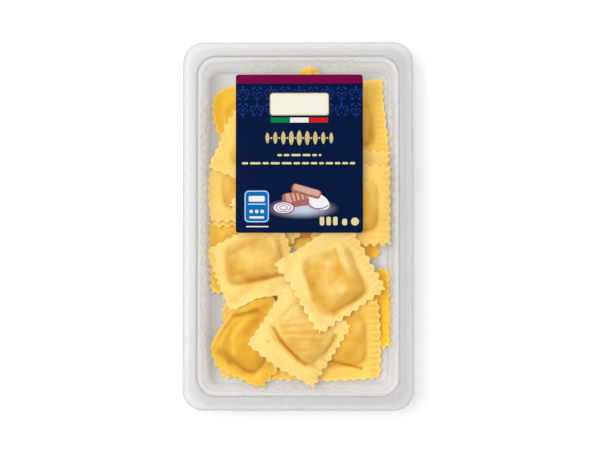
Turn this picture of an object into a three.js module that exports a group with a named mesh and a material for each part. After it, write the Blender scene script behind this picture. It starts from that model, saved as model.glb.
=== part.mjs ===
import * as THREE from 'three';

// A sealed pack of large ravioli: a clear formed tray with a wide rim, the ravioli lying in
// it in a heap, a clear film sealed to the rim, and a printed label stuck on the film.
// Millimetres, +Z up. The origin is on the ground under the middle of the tray, X runs across
// the pack, and +Y points to the top edge of the label.

// Tray: outer size, and how far in from its outer edge each line of its section lies
const TRAY_WIDE = 139;
const TRAY_LONG = 222;
const RIM_HEIGHT = 38;
const WALL = 0.6;
const OUTER_RADIUS = 12.5;
const SKIRT_DROP = 3;
const SKIRT_THICK = 0.8;
const LIP_INSET = 1.6;
const LIP_SOFTENING = 0.5;
const RIM_INSET = 8.4;
const RIM_INNER_RADIUS = 12;
const STEP_INSET = 9.2;
const STEP_RADIUS = 11;
const STEP_DROP = 1.6;
const LEDGE_INSET = 10.4;
const LEDGE_FALL = 0.5;
const WALL_INSET = 12.1;
const WALL_DRAFT = 0.8;
const WALL_RADIUS = 8;
const FOOT_RUN = 2;
const FOOT_RISE = 2.5;
const CORNER_STEPS = 6;

// Upright half-round flutes along the straight walls
const FLUTE_PITCH = 6.3;
const FLUTE_DEPTH = 1.1;
const FLUTE_FOOT_DEPTH = 0.8;
const FLUTE_STEPS = 3;
const FLUTES_LONG_SIDE = 24;
const FLUTES_SHORT_SIDE = 11;

// Film and label
const FILM_THICK = 0.2;
const FILM_GAP = 0.1;
const FILM_INSET = 1.7;
const LABEL_WIDE = 76.5;
const LABEL_LONG = 95.4;
const LABEL_THICK = 0.15;
const LABEL_GAP = 0.05;
const LABEL_RADIUS = 1.8;
const LABEL_CENTRE = { x: 0.8, y: 43.4 };

// Ravioli: a thin border with a toothed edge round a rounded square hump of filling
const RAVIOLO_SIDE = 49;
const TEETH = 9;
const TOOTH_DEPTH = 1.9;
const TOOTH_ROOT_SHARE = 0.94;
const CORNER_CLIP = 0.02;
const EDGE_THICK = 0.7;
const BORDER_THICK = 1.8;
const BORDER_PINCH = 0.3;
const BORDER_SQUARENESS = 8;
const HUMP_HALF = 15.8;
const HUMP_HIGH = 7.5;
const HUMP_SQUARENESS = 3.6;
const HUMP_FULLNESS = 3;

// Rings of facets across the underside and the hump: how many points, and how far out
const UNDER_RINGS = [
  { count: 8, share: 0.4 },
  { count: 24, share: 0.78 },
];
const HUMP_RINGS = [
  { count: 24, share: 1.06 },
  { count: 24, share: 0.86 },
  { count: 16, share: 0.6 },
  { count: 8, share: 0.3 },
];

// How the pieces settle. The core of a piece stays flat and its border bends.
const CELL = 1;
const AIR_GAP = 0.5;
const WALL_GAP = 0.3;
const CORE_REACH = 3;
const BORDER_REACH = 7;
const CORE_SHARE = 0.6;
const CORE_SPOTS = 8;
const CONTACT_BLEND = 1;
const DOUGH_GIVE = 0.7;
const BORDER_DROOP = 3;
const DROOP_POWER = 1.5;
const STEEPEST = 0.36;
const LEAN_TRIES = 36;
const LEAN_COST = 12;

// The ravioli in the order in which they lie, lowest first. x, y: middle of the piece. yaw:
// turn in degrees, anticlockwise from above. wide, long: size in plan along its own two axes.
// skew: degrees by which its second axis leans. bow: how full its sides are, as a share of
// half its width. lift: how far its first side curls up. humpX, humpY: place of the filling.
const PIECES = [
  { x: -24, y: -70.2, yaw: -2, wide: 49, long: 48 },
  { x: 32.5, y: -50.5, yaw: 2, wide: 49, long: 50, bow: 0.03 },
  { x: -32.6, y: -17.5, yaw: 3, wide: 47, long: 46 },
  { x: -32.6, y: 25, yaw: 4, wide: 47, long: 48 },
  { x: 32.5, y: 36.5, yaw: 0, wide: 48.5, long: 48 },
  { x: 30, y: 7, yaw: -10, wide: 48, long: 48 },
  { x: 1, y: 9.5, yaw: 2, wide: 47, long: 47 },
  { x: -26.5, y: 65, yaw: 17, wide: 47, long: 47, bow: 0.03 },
  { x: 29.5, y: 65, yaw: 6, wide: 49, long: 49 },
  { x: 6.5, y: 65.3, yaw: 45, wide: 47, long: 47 },
  { x: 25, y: -69, yaw: 2, wide: 50, long: 50, bow: 0.03 },
  { x: -26, y: -69, yaw: -40, wide: 42, long: 47, skew: 4, bow: 0.06, lift: 5 },
  { x: -31, y: 27.7, yaw: 1, wide: 49, long: 49 },
  { x: 33, y: 23.5, yaw: 0, wide: 49, long: 48 },
  { x: -22, y: 47.5, yaw: -27, wide: 49, long: 48 },
  { x: -11.5, y: 15, yaw: 48, wide: 46, long: 46 },
  { x: 32.6, y: 13, yaw: 0, wide: 50, long: 50 },
  { x: -29.4, y: -22, yaw: 26, wide: 48, long: 40, skew: -3, humpX: 2, humpY: 3 },
  { x: 1, y: -66, yaw: -33, wide: 48, long: 45, humpX: 2 },
  { x: 20.6, y: -30.5, yaw: 34, wide: 51, long: 51, skew: -4, humpX: 3, humpY: -2.7 },
];

// ---- Rings and solids

// A ring is a list of points, anticlockwise from above. at runs from 0 to 4 round it, one
// unit for each side and the corner after it, so that rings of different counts line up.

/** Points of a rounded rectangle. fluteDepth is the depth of the flutes on its sides. */
function roundedRing(halfX, halfY, radius, z, fluteDepth = 0) {
  const sides = [
    { across: halfX, along: halfY, flutes: FLUTES_LONG_SIDE },
    { across: halfY, along: halfX, flutes: FLUTES_SHORT_SIDE },
    { across: halfX, along: halfY, flutes: FLUTES_LONG_SIDE },
    { across: halfY, along: halfX, flutes: FLUTES_SHORT_SIDE },
  ];
  const ring = [];
  sides.forEach((side, turn) => {
    const angle = (turn * Math.PI) / 2;
    const straight = side.along - radius;
    const place = (out, forward, at) => {
      const x = Math.cos(angle) * out - Math.sin(angle) * forward;
      const y = Math.sin(angle) * out + Math.cos(angle) * forward;
      ring.push({ at: turn + at, x, y, z });
    };
    place(side.across, -straight, 0);
    if (fluteDepth > 0) {
      for (let i = 0; i <= side.flutes * FLUTE_STEPS; i += 1) {
        const forward = (i / FLUTE_STEPS - side.flutes / 2) * FLUTE_PITCH;
        const bulge = fluteDepth * Math.abs(Math.sin((Math.PI * i) / FLUTE_STEPS));
        place(side.across + bulge, forward, 0.25 + forward / straight / 4);
      }
    }
    for (let i = 0; i < CORNER_STEPS; i += 1) {
      const arc = (Math.PI / 2) * (i / CORNER_STEPS);
      const out = side.across - radius + radius * Math.cos(arc);
      place(out, straight + radius * Math.sin(arc), 0.5 + i / CORNER_STEPS / 2);
    }
  });
  return ring;
}

/** A ring of one point on the pack's middle line, which closes a solid. */
function pole(z) {
  return [{ at: 0, x: 0, y: 0, z }];
}

/** Fills the band between two rings, always stepping on along the one that is behind. */
function stitch(faces, ringA, firstA, ringB, firstB) {
  const next = (ring, i) => {
    if (ring.length === 1 || i >= ring.length) return Infinity;
    return i + 1 < ring.length ? ring[i + 1].at : ring[0].at + 4;
  };
  let a = 0;
  let b = 0;
  while (next(ringA, a) < Infinity || next(ringB, b) < Infinity) {
    const hereA = firstA + (a % ringA.length);
    const hereB = firstB + (b % ringB.length);
    if (next(ringA, a) <= next(ringB, b)) {
      a += 1;
      faces.push(hereA, firstA + (a % ringA.length), hereB);
    } else {
      b += 1;
      faces.push(hereA, firstB + (b % ringB.length), hereB);
    }
  }
}

/** Joins rings one to the next into a closed solid. The path of rings runs from a point
 * under the solid, out along its underside, and back in over its top to a point. */
function solidThrough(rings) {
  const positions = [];
  const firsts = [];
  for (const ring of rings) {
    firsts.push(positions.length / 3);
    for (const spot of ring) positions.push(spot.x, spot.y, spot.z);
  }
  const faces = [];
  for (let k = 0; k + 1 < rings.length; k += 1) {
    stitch(faces, rings[k], firsts[k], rings[k + 1], firsts[k + 1]);
  }
  const geometry = new THREE.BufferGeometry();
  geometry.setAttribute('position', new THREE.Float32BufferAttribute(positions, 3));
  geometry.setIndex(faces);
  geometry.computeVertexNormals();
  return geometry;
}

// ---- Tray, film and label

/** A ring of the tray, inset from its outer edge. */
function trayRing(inset, radius, z, fluteDepth = 0) {
  return roundedRing(TRAY_WIDE / 2 - inset, TRAY_LONG / 2 - inset, radius, z, fluteDepth);
}

/** The tray: floor, fluted walls, a ledge and a step up to the flat rim, and a skirt. */
function trayGeometry() {
  const skirtZ = RIM_HEIGHT - SKIRT_DROP;
  const ledgeZ = RIM_HEIGHT - STEP_DROP;
  const wallTopZ = ledgeZ - LEDGE_FALL;
  const footInset = WALL_INSET + WALL_DRAFT;
  const footZ = WALL + FOOT_RISE;
  const floorInset = footInset + FOOT_RUN;
  const floorRadius = WALL_RADIUS - FOOT_RUN;
  const underside = [
    pole(0),
    trayRing(floorInset, floorRadius, 0),
    trayRing(footInset - WALL, WALL_RADIUS + WALL, footZ, FLUTE_FOOT_DEPTH),
    trayRing(WALL_INSET - WALL, WALL_RADIUS + WALL, wallTopZ - WALL, FLUTE_DEPTH),
    trayRing(LEDGE_INSET - WALL, WALL_RADIUS + 2 * WALL, ledgeZ - WALL),
    trayRing(STEP_INSET - WALL, STEP_RADIUS, ledgeZ - WALL),
    trayRing(RIM_INSET - WALL, RIM_INNER_RADIUS, RIM_HEIGHT - WALL),
    trayRing(LIP_INSET + LIP_SOFTENING, OUTER_RADIUS - LIP_INSET, RIM_HEIGHT - WALL),
    trayRing(SKIRT_THICK, OUTER_RADIUS - SKIRT_THICK, skirtZ),
  ];
  const topside = [
    trayRing(0, OUTER_RADIUS, skirtZ),
    trayRing(LIP_SOFTENING, OUTER_RADIUS - LIP_SOFTENING, RIM_HEIGHT - LIP_SOFTENING),
    trayRing(LIP_INSET, OUTER_RADIUS - LIP_INSET, RIM_HEIGHT),
    trayRing(RIM_INSET, RIM_INNER_RADIUS, RIM_HEIGHT),
    trayRing(STEP_INSET, STEP_RADIUS, ledgeZ),
    trayRing(LEDGE_INSET, WALL_RADIUS + WALL, ledgeZ),
    trayRing(WALL_INSET, WALL_RADIUS, wallTopZ, FLUTE_DEPTH),
    trayRing(footInset, WALL_RADIUS, footZ, FLUTE_FOOT_DEPTH),
    trayRing(floorInset, floorRadius, WALL),
    pole(WALL),
  ];
  return solidThrough([...underside, ...topside]);
}

/** A flat sheet with round corners, lying at z. */
function sheetGeometry(wide, long, radius, z, thick) {
  return solidThrough([
    pole(z),
    roundedRing(wide / 2, long / 2, radius, z),
    roundedRing(wide / 2, long / 2, radius, z + thick),
    pole(z + thick),
  ]);
}

// ---- One raviolo, in a unit square p, q that reaches from -1 to 1

/** Distance from the middle, measured so that a rounded square of that power is at 1. */
function roundedReach(p, q, power) {
  return (Math.abs(p) ** power + Math.abs(q) ** power) ** (1 / power);
}

/** How far out p, q lies: 1 on the square's sides. */
function squareReach(p, q) {
  return Math.max(Math.abs(p), Math.abs(q));
}

/** A ring round middle, at a share of the way out, in the form that reach measures. */
function squareRing(count, share, reach, middle = { p: 0, q: 0 }) {
  const ring = [];
  for (let i = 0; i < count; i += 1) {
    const at = (4 * i) / count;
    const side = Math.floor(at);
    const along = 2 * (at - side) - 1;
    const turn = (side * Math.PI) / 2;
    const p = Math.cos(turn) - Math.sin(turn) * along;
    const q = Math.sin(turn) + Math.cos(turn) * along;
    const scale = share / reach(p, q);
    ring.push({ at, p: middle.p + scale * p, q: middle.q + scale * q });
  }
  return ring;
}

/** The cut edge: a square with a tooth at every other point and its corners clipped. */
function edgeRing() {
  return squareRing(TEETH * 8, 1, squareReach).map(({ at, p, q }, i) => {
    const notch = i % 2 === 0 ? 0 : (2 * TOOTH_DEPTH) / RAVIOLO_SIDE;
    const clip = CORNER_CLIP * Math.min(Math.abs(p), Math.abs(q)) ** BORDER_SQUARENESS;
    return { at, p: p * (1 - notch - clip), q: q * (1 - notch - clip) };
  });
}

const borderReach = (p, q) => roundedReach(p, q, BORDER_SQUARENESS);
const humpReach = (p, q) => roundedReach(p, q, HUMP_SQUARENESS);

/** How far past its flat core a spot of a piece is: 0 at the core, 1 at the edge. */
function pastCore(p, q) {
  return Math.max(0, squareReach(p, q) - CORE_SHARE) / (1 - CORE_SHARE);
}

/** Where the middle of a piece's hump is, and its size, in the piece's unit square. */
function humpOf(piece) {
  return {
    p: (2 * (piece.humpX ?? 0)) / piece.wide,
    q: (2 * (piece.humpY ?? 0)) / piece.long,
    share: (4 * HUMP_HALF) / (piece.wide + piece.long),
  };
}

/** Thickness above the underside: the border, thinner to its edge, and the hump on it. */
function thicknessAt(p, q, hump) {
  const reach = humpReach(p - hump.p, q - hump.q) / hump.share;
  const rise = Math.max(0, 1 - reach ** HUMP_FULLNESS);
  return BORDER_THICK - BORDER_PINCH * pastCore(p, q) + HUMP_HIGH * rise;
}

// ---- The heap: a lattice of heights that each piece is laid on in turn

const COLUMNS = Math.round((TRAY_WIDE - 2 * WALL_INSET) / CELL) + 5;
const ROWS = Math.round((TRAY_LONG - 2 * WALL_INSET) / CELL) + 5;
const columnOf = (x) => x / CELL + (COLUMNS - 1) / 2;
const rowOf = (y) => y / CELL + (ROWS - 1) / 2;
const cellX = (column) => (column - (COLUMNS - 1) / 2) * CELL;
const cellY = (row) => (row - (ROWS - 1) / 2) * CELL;

/** The empty tray: its floor, and the slope at the foot of its walls. */
function emptyTray() {
  const floorInset = WALL_INSET + WALL_DRAFT + FOOT_RUN;
  const field = new Float64Array(COLUMNS * ROWS);
  for (let row = 0; row < ROWS; row += 1) {
    for (let column = 0; column < COLUMNS; column += 1) {
      const pastX = Math.abs(cellX(column)) - (TRAY_WIDE / 2 - floorInset);
      const pastY = Math.abs(cellY(row)) - (TRAY_LONG / 2 - floorInset);
      const share = Math.max(pastX, pastY, 0) / FOOT_RUN;
      field[row * COLUMNS + column] = WALL + FOOT_RISE * Math.min(share, 1);
    }
  }
  return field;
}

const highest = (heights) => Math.max(...heights);
const mean = (heights) => heights.reduce((sum, height) => sum + height, 0) / heights.length;

/** Passes a square window over a field, keeping what combine makes of its heights. */
function filtered(field, reach, combine) {
  const pass = (source, lines, lineStep, length, step) => {
    const result = new Float64Array(source.length);
    for (let line = 0; line < lines; line += 1) {
      for (let i = 0; i < length; i += 1) {
        const heights = [];
        for (let j = Math.max(0, i - reach); j <= Math.min(length - 1, i + reach); j += 1) {
          heights.push(source[line * lineStep + j * step]);
        }
        result[line * lineStep + i * step] = combine(heights);
      }
    }
    return result;
  };
  return pass(pass(field, ROWS, COLUMNS, COLUMNS, 1), COLUMNS, 1, ROWS, COLUMNS);
}

/** What a sheet of dough can follow of the heap: never under it, and smooth over reach. */
function supportOf(field, reach) {
  const blur = Math.floor(reach / 2);
  return filtered(filtered(filtered(field, reach, highest), blur, mean), blur, mean);
}

/** Height of a field at x, y, worked out between its four nearest cells. */
function heightAt(field, x, y) {
  const column = THREE.MathUtils.clamp(columnOf(x), 0, COLUMNS - 1.001);
  const row = THREE.MathUtils.clamp(rowOf(y), 0, ROWS - 1.001);
  const corner = Math.floor(row) * COLUMNS + Math.floor(column);
  const east = column % 1;
  const south = THREE.MathUtils.lerp(field[corner], field[corner + 1], east);
  const above = corner + COLUMNS;
  const north = THREE.MathUtils.lerp(field[above], field[above + 1], east);
  return THREE.MathUtils.lerp(south, north, row % 1);
}

/** Calls visit(cell, height) for each cell whose centre is under the triangle a, b, c. */
function overCells([a, b, c], visit) {
  const area = (b.x - a.x) * (c.y - a.y) - (b.y - a.y) * (c.x - a.x);
  if (area === 0) return;
  const west = Math.max(0, Math.ceil(columnOf(Math.min(a.x, b.x, c.x))));
  const east = Math.min(COLUMNS - 1, Math.floor(columnOf(Math.max(a.x, b.x, c.x))));
  const south = Math.max(0, Math.ceil(rowOf(Math.min(a.y, b.y, c.y))));
  const north = Math.min(ROWS - 1, Math.floor(rowOf(Math.max(a.y, b.y, c.y))));
  for (let row = south; row <= north; row += 1) {
    for (let column = west; column <= east; column += 1) {
      const x = cellX(column) - a.x;
      const y = cellY(row) - a.y;
      const shareB = (x * (c.y - a.y) - y * (c.x - a.x)) / area;
      const shareC = ((b.x - a.x) * y - (b.y - a.y) * x) / area;
      if (shareB < 0 || shareC < 0 || shareB + shareC > 1) continue;
      visit(row * COLUMNS + column, a.z + shareB * (b.z - a.z) + shareC * (c.z - a.z));
    }
  }
}

/** Calls visit(cell, height) for the cells under the facets between one ring and the next. */
function overRings(rings, visit) {
  for (let k = 0; k + 1 < rings.length; k += 1) {
    const faces = [];
    stitch(faces, rings[k], 0, rings[k + 1], rings[k].length);
    const spots = [...rings[k], ...rings[k + 1]];
    for (let i = 0; i < faces.length; i += 3) {
      overCells([spots[faces[i]], spots[faces[i + 1]], spots[faces[i + 2]]], visit);
    }
  }
}

// ---- Laying the pieces

/** Where p, q of a piece's unit square lies in the pack, stopping short of the walls. */
function inPlan(piece, p, q) {
  const yaw = THREE.MathUtils.degToRad(piece.yaw);
  const slant = THREE.MathUtils.degToRad(piece.yaw + (piece.skew ?? 0));
  const bow = piece.bow ?? 0;
  const along = (p * (1 + bow * (1 - q * q)) * piece.wide) / 2;
  const across = (q * (1 + bow * (1 - p * p)) * piece.long) / 2;
  const x = piece.x + Math.cos(yaw) * along - Math.sin(slant) * across;
  const y = piece.y + Math.sin(yaw) * along + Math.cos(slant) * across;
  const stop = WALL_INSET + WALL_DRAFT + WALL_GAP;
  return {
    x: THREE.MathUtils.clamp(x, stop - TRAY_WIDE / 2, TRAY_WIDE / 2 - stop),
    y: THREE.MathUtils.clamp(y, stop - TRAY_LONG / 2, TRAY_LONG / 2 - stop),
  };
}

/** The lean at which a piece's middle comes lowest without its core sinking in, where a
 * steep lean has to bring it lower by more. */
function restingLean(piece, support) {
  const spots = [];
  for (let i = -CORE_SPOTS; i <= CORE_SPOTS; i += 1) {
    for (let j = -CORE_SPOTS; j <= CORE_SPOTS; j += 1) {
      const share = CORE_SHARE / CORE_SPOTS;
      const { x, y } = inPlan(piece, share * i, share * j);
      spots.push({ x: x - piece.x, y: y - piece.y, height: heightAt(support, x, y) });
    }
  }
  let best = { cost: Infinity };
  for (let i = -LEAN_TRIES; i <= LEAN_TRIES; i += 1) {
    for (let j = -LEAN_TRIES; j <= LEAN_TRIES; j += 1) {
      const x = (STEEPEST * i) / LEAN_TRIES;
      const y = (STEEPEST * j) / LEAN_TRIES;
      const height = highest(spots.map((spot) => spot.height - x * spot.x - y * spot.y));
      const cost = height + LEAN_COST * (x * x + y * y);
      if (cost < best.cost) best = { x, y, height, cost };
    }
  }
  return best;
}

/** A larger of two heights that passes smoothly from one to the other. */
function smoothMax(a, b) {
  return (a + b + Math.hypot(a - b, CONTACT_BLEND)) / 2;
}

/** The underside of a piece on the heap, as a function of p and q. Its core lies flat on
 * its lean, and its border droops until it meets what is under it. */
function undersideOf(piece, heap) {
  const coreSupport = supportOf(heap, CORE_REACH);
  const borderSupport = supportOf(heap, BORDER_REACH);
  const lean = restingLean(piece, coreSupport);
  return (p, q) => {
    const { x, y } = inPlan(piece, p, q);
    const out = pastCore(p, q);
    const flat = lean.height + lean.x * (x - piece.x) + lean.y * (y - piece.y);
    const curl = (piece.lift ?? 0) * Math.max(0, -p) ** 2;
    const hung = flat - DOUGH_GIVE - BORDER_DROOP * out ** DROOP_POWER + curl;
    const core = heightAt(coreSupport, x, y);
    const border = heightAt(borderSupport, x, y);
    const support = THREE.MathUtils.lerp(core, border, Math.min(1, out * DROOP_POWER));
    return smoothMax(support, hung) + AIR_GAP;
  };
}

/** Lays one piece on the heap, adds it to the heap's heights, and gives back its solid. */
function layPiece(piece, heap) {
  const hump = humpOf(piece);
  const underside = undersideOf(piece, heap);
  const placed = (ring, thickness) => ring.map(({ at, p, q }) => ({
    at,
    ...inPlan(piece, p, q),
    z: underside(p, q) + thickness(p, q, hump),
  }));
  const under = UNDER_RINGS.map(({ count, share }) => squareRing(count, share, borderReach));
  const over = HUMP_RINGS.map(({ count, share }) => {
    return squareRing(count, share * hump.share, humpReach, hump);
  });
  const lower = [[{ at: 0, p: 0, q: 0 }], ...under].map((ring) => placed(ring, () => 0));
  const edge = placed(edgeRing(), () => EDGE_THICK);
  const root = squareRing(TEETH * 4, TOOTH_ROOT_SHARE, borderReach);
  const crown = [{ at: 0, p: hump.p, q: hump.q }];
  const upper = [root, ...over, crown].map((ring) => placed(ring, thicknessAt));

  // Between its corners a facet can dip under the smooth underside, so the piece is raised
  // by as much as any facet comes too near the heap.
  const crowded = filtered(heap, 1, highest);
  let short = 0;
  overRings([...lower, edge], (cell, z) => {
    short = Math.max(short, crowded[cell] + AIR_GAP - z);
  });
  const rings = [...lower, edge, ...upper];
  for (const spot of rings.flat()) spot.z += short;
  overRings([edge, ...upper], (cell, z) => {
    heap[cell] = Math.max(heap[cell], z);
  });
  return solidThrough(rings);
}

// ---- Materials

function clearPlastic(color, opacity) {
  const finish = { color, opacity, transparent: true, roughness: 0.25, metalness: 0 };
  return new THREE.MeshStandardMaterial(finish);
}

function printedPaper() {
  return new THREE.MeshStandardMaterial({ color: 0x001a3c, roughness: 0.4, metalness: 0 });
}

function eggPasta() {
  return new THREE.MeshStandardMaterial({ color: 0xf0cb72, roughness: 0.6, metalness: 0 });
}

// ---- The pack

const pack = new THREE.Group();

function add(name, geometry, material) {
  const mesh = new THREE.Mesh(geometry, material);
  mesh.name = name;
  pack.add(mesh);
  return mesh;
}

add('tray', trayGeometry(), clearPlastic(0xdcdcdd, 0.45));

const heap = emptyTray();
PIECES.forEach((piece, i) => {
  add(`raviolo_${String(i + 1).padStart(2, '0')}`, layPiece(piece, heap), eggPasta());
});

const filmZ = RIM_HEIGHT + FILM_GAP;
const filmWide = TRAY_WIDE - 2 * FILM_INSET;
const filmLong = TRAY_LONG - 2 * FILM_INSET;
const filmRadius = OUTER_RADIUS - FILM_INSET;
const film = sheetGeometry(filmWide, filmLong, filmRadius, filmZ, FILM_THICK);
add('lid_film', film, clearPlastic(0xf2f2f3, 0.15));

const labelZ = filmZ + FILM_THICK + LABEL_GAP;
const sticker = sheetGeometry(LABEL_WIDE, LABEL_LONG, LABEL_RADIUS, labelZ, LABEL_THICK);
add('label', sticker, printedPaper()).position.set(LABEL_CENTRE.x, LABEL_CENTRE.y, 0);

export default pack;
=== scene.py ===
"""A sealed pack of large ravioli: clear tray, toothed pasta squares, film and printed label.

Laid out as an add-on and run as a script. Each piece is a surface worked out with numpy, in
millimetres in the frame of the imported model, and written to its mesh in metres.
"""

import math

import bpy
import numpy as np
from bpy.props import FloatProperty, FloatVectorProperty, IntProperty, PointerProperty
from mathutils import Matrix, Vector


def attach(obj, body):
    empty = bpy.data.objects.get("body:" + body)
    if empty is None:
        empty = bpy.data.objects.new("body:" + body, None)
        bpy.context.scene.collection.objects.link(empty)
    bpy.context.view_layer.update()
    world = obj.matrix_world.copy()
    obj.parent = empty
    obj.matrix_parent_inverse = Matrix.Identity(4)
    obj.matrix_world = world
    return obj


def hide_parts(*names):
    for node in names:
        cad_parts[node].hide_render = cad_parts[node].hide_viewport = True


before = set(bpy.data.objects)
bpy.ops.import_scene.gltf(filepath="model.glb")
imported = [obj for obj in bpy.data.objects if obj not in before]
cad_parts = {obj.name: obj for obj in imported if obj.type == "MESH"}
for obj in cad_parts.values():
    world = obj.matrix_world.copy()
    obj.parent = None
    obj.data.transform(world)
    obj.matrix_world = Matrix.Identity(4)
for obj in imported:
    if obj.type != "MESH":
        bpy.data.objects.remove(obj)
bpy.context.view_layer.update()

bl_info = {
    "name": "Ravioli pack",
    "version": (1, 0, 0),
    "blender": (4, 5, 0),
    "location": "3D View > Sidebar > Ravioli pack",
    "description": "Builds a sealed pack of large ravioli around its packed solids",
    "category": "Object",
}

MM = 0.001
BODY = "root"
PI = math.pi

# ---- Sizes of the construction, in millimetres, as in the part's source

TRAY_WIDE = 139.0
TRAY_LONG = 222.0
RIM_HEIGHT = 38.0
WALL = 0.6
WALL_INSET = 12.1
WALL_DRAFT = 0.8
WALL_GAP = 0.3
FLUTE_PITCH = 6.3
FLUTES_LONG_SIDE = 24
FLUTES_SHORT_SIDE = 11
FILM_BOTTOM = 38.1
FILM_TOP = 38.3
FILM_INSET = 1.7
OUTER_RADIUS = 12.5
LABEL_BOTTOM = 38.35
LABEL_WIDE = 76.5
LABEL_LONG = 95.4
LABEL_X = 0.8
LABEL_Y = 43.4
LABEL_RADIUS = 1.8

RAVIOLO_SIDE = 49.0
TEETH = 9
TOOTH_DEPTH = 1.9
TOOTH_ROOT_SHARE = 0.94
RIDGES = 14
CORNER_CLIP = 0.02
EDGE_THICK = 0.7
BORDER_THICK = 1.8
BORDER_PINCH = 0.3
BORDER_SQUARENESS = 8.0
HUMP_HALF = 15.8
HUMP_HIGH = 7.5
HUMP_SQUARENESS = 3.6
HUMP_FULLNESS = 3.0
CORE_SHARE = 0.6
UNDER_RINGS = ((8, 0.4), (24, 0.78))
HUMP_RINGS = ((24, 1.06), (24, 0.86), (16, 0.6), (8, 0.3))

# ---- Sizes of the finish, in millimetres. A spare is what a face keeps clear of its solid's.

FILM_SLACK = 0.5
FILM_SPARE = 0.05
LABEL_THICK = 0.03
PRINT_BOTTOM = LABEL_BOTTOM + 0.01
PRINT_LEVELS = (38.41, 38.43, 38.44, 38.45, 38.46, 38.47, 38.48, 38.49)
UNDERSIDE_SPARE = 0.1
UNDERSIDE_WAVE = 0.35
EDGE_ROUND = 0.22
EDGE_TURNS = (45, 90, 135)
GROOVE_DEPTH = 0.6
SWELL_HIGH = 0.5
ROUGH_HIGH = 0.12
THINNEST = 0.5
BULGE_SQUARENESS = 4.6

# Teeth, as shares of half the side: their depth, how much it varies and its limits, what the
# ones at the corners lose, and how much more of the corner goes than in the solids. Then the
# places, in millimetres, that their unevenness is drawn at along a side and across to the
# other one.
TOOTH_SHARE = 2 * TOOTH_DEPTH / RAVIOLO_SIDE
TOOTH_UNEVEN = 0.25
TOOTH_LIMITS = (0.03, 0.11)
CORNER_TOOTH_LOSS = 0.55
CLIP_FACTOR = 2.6
DRAWN_ALONG = 24.0
DRAWN_ACROSS = 40.0

# ---- Stage: floor in millimetres, sensor in millimetres, width in view at the rim in metres

FLOOR_LEVEL = -0.2
FLOOR_HALF = 2500.0
SENSOR_WIDE = 36.0
VIEW_WIDE = 0.36

# ---- Places of the ravioli

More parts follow.
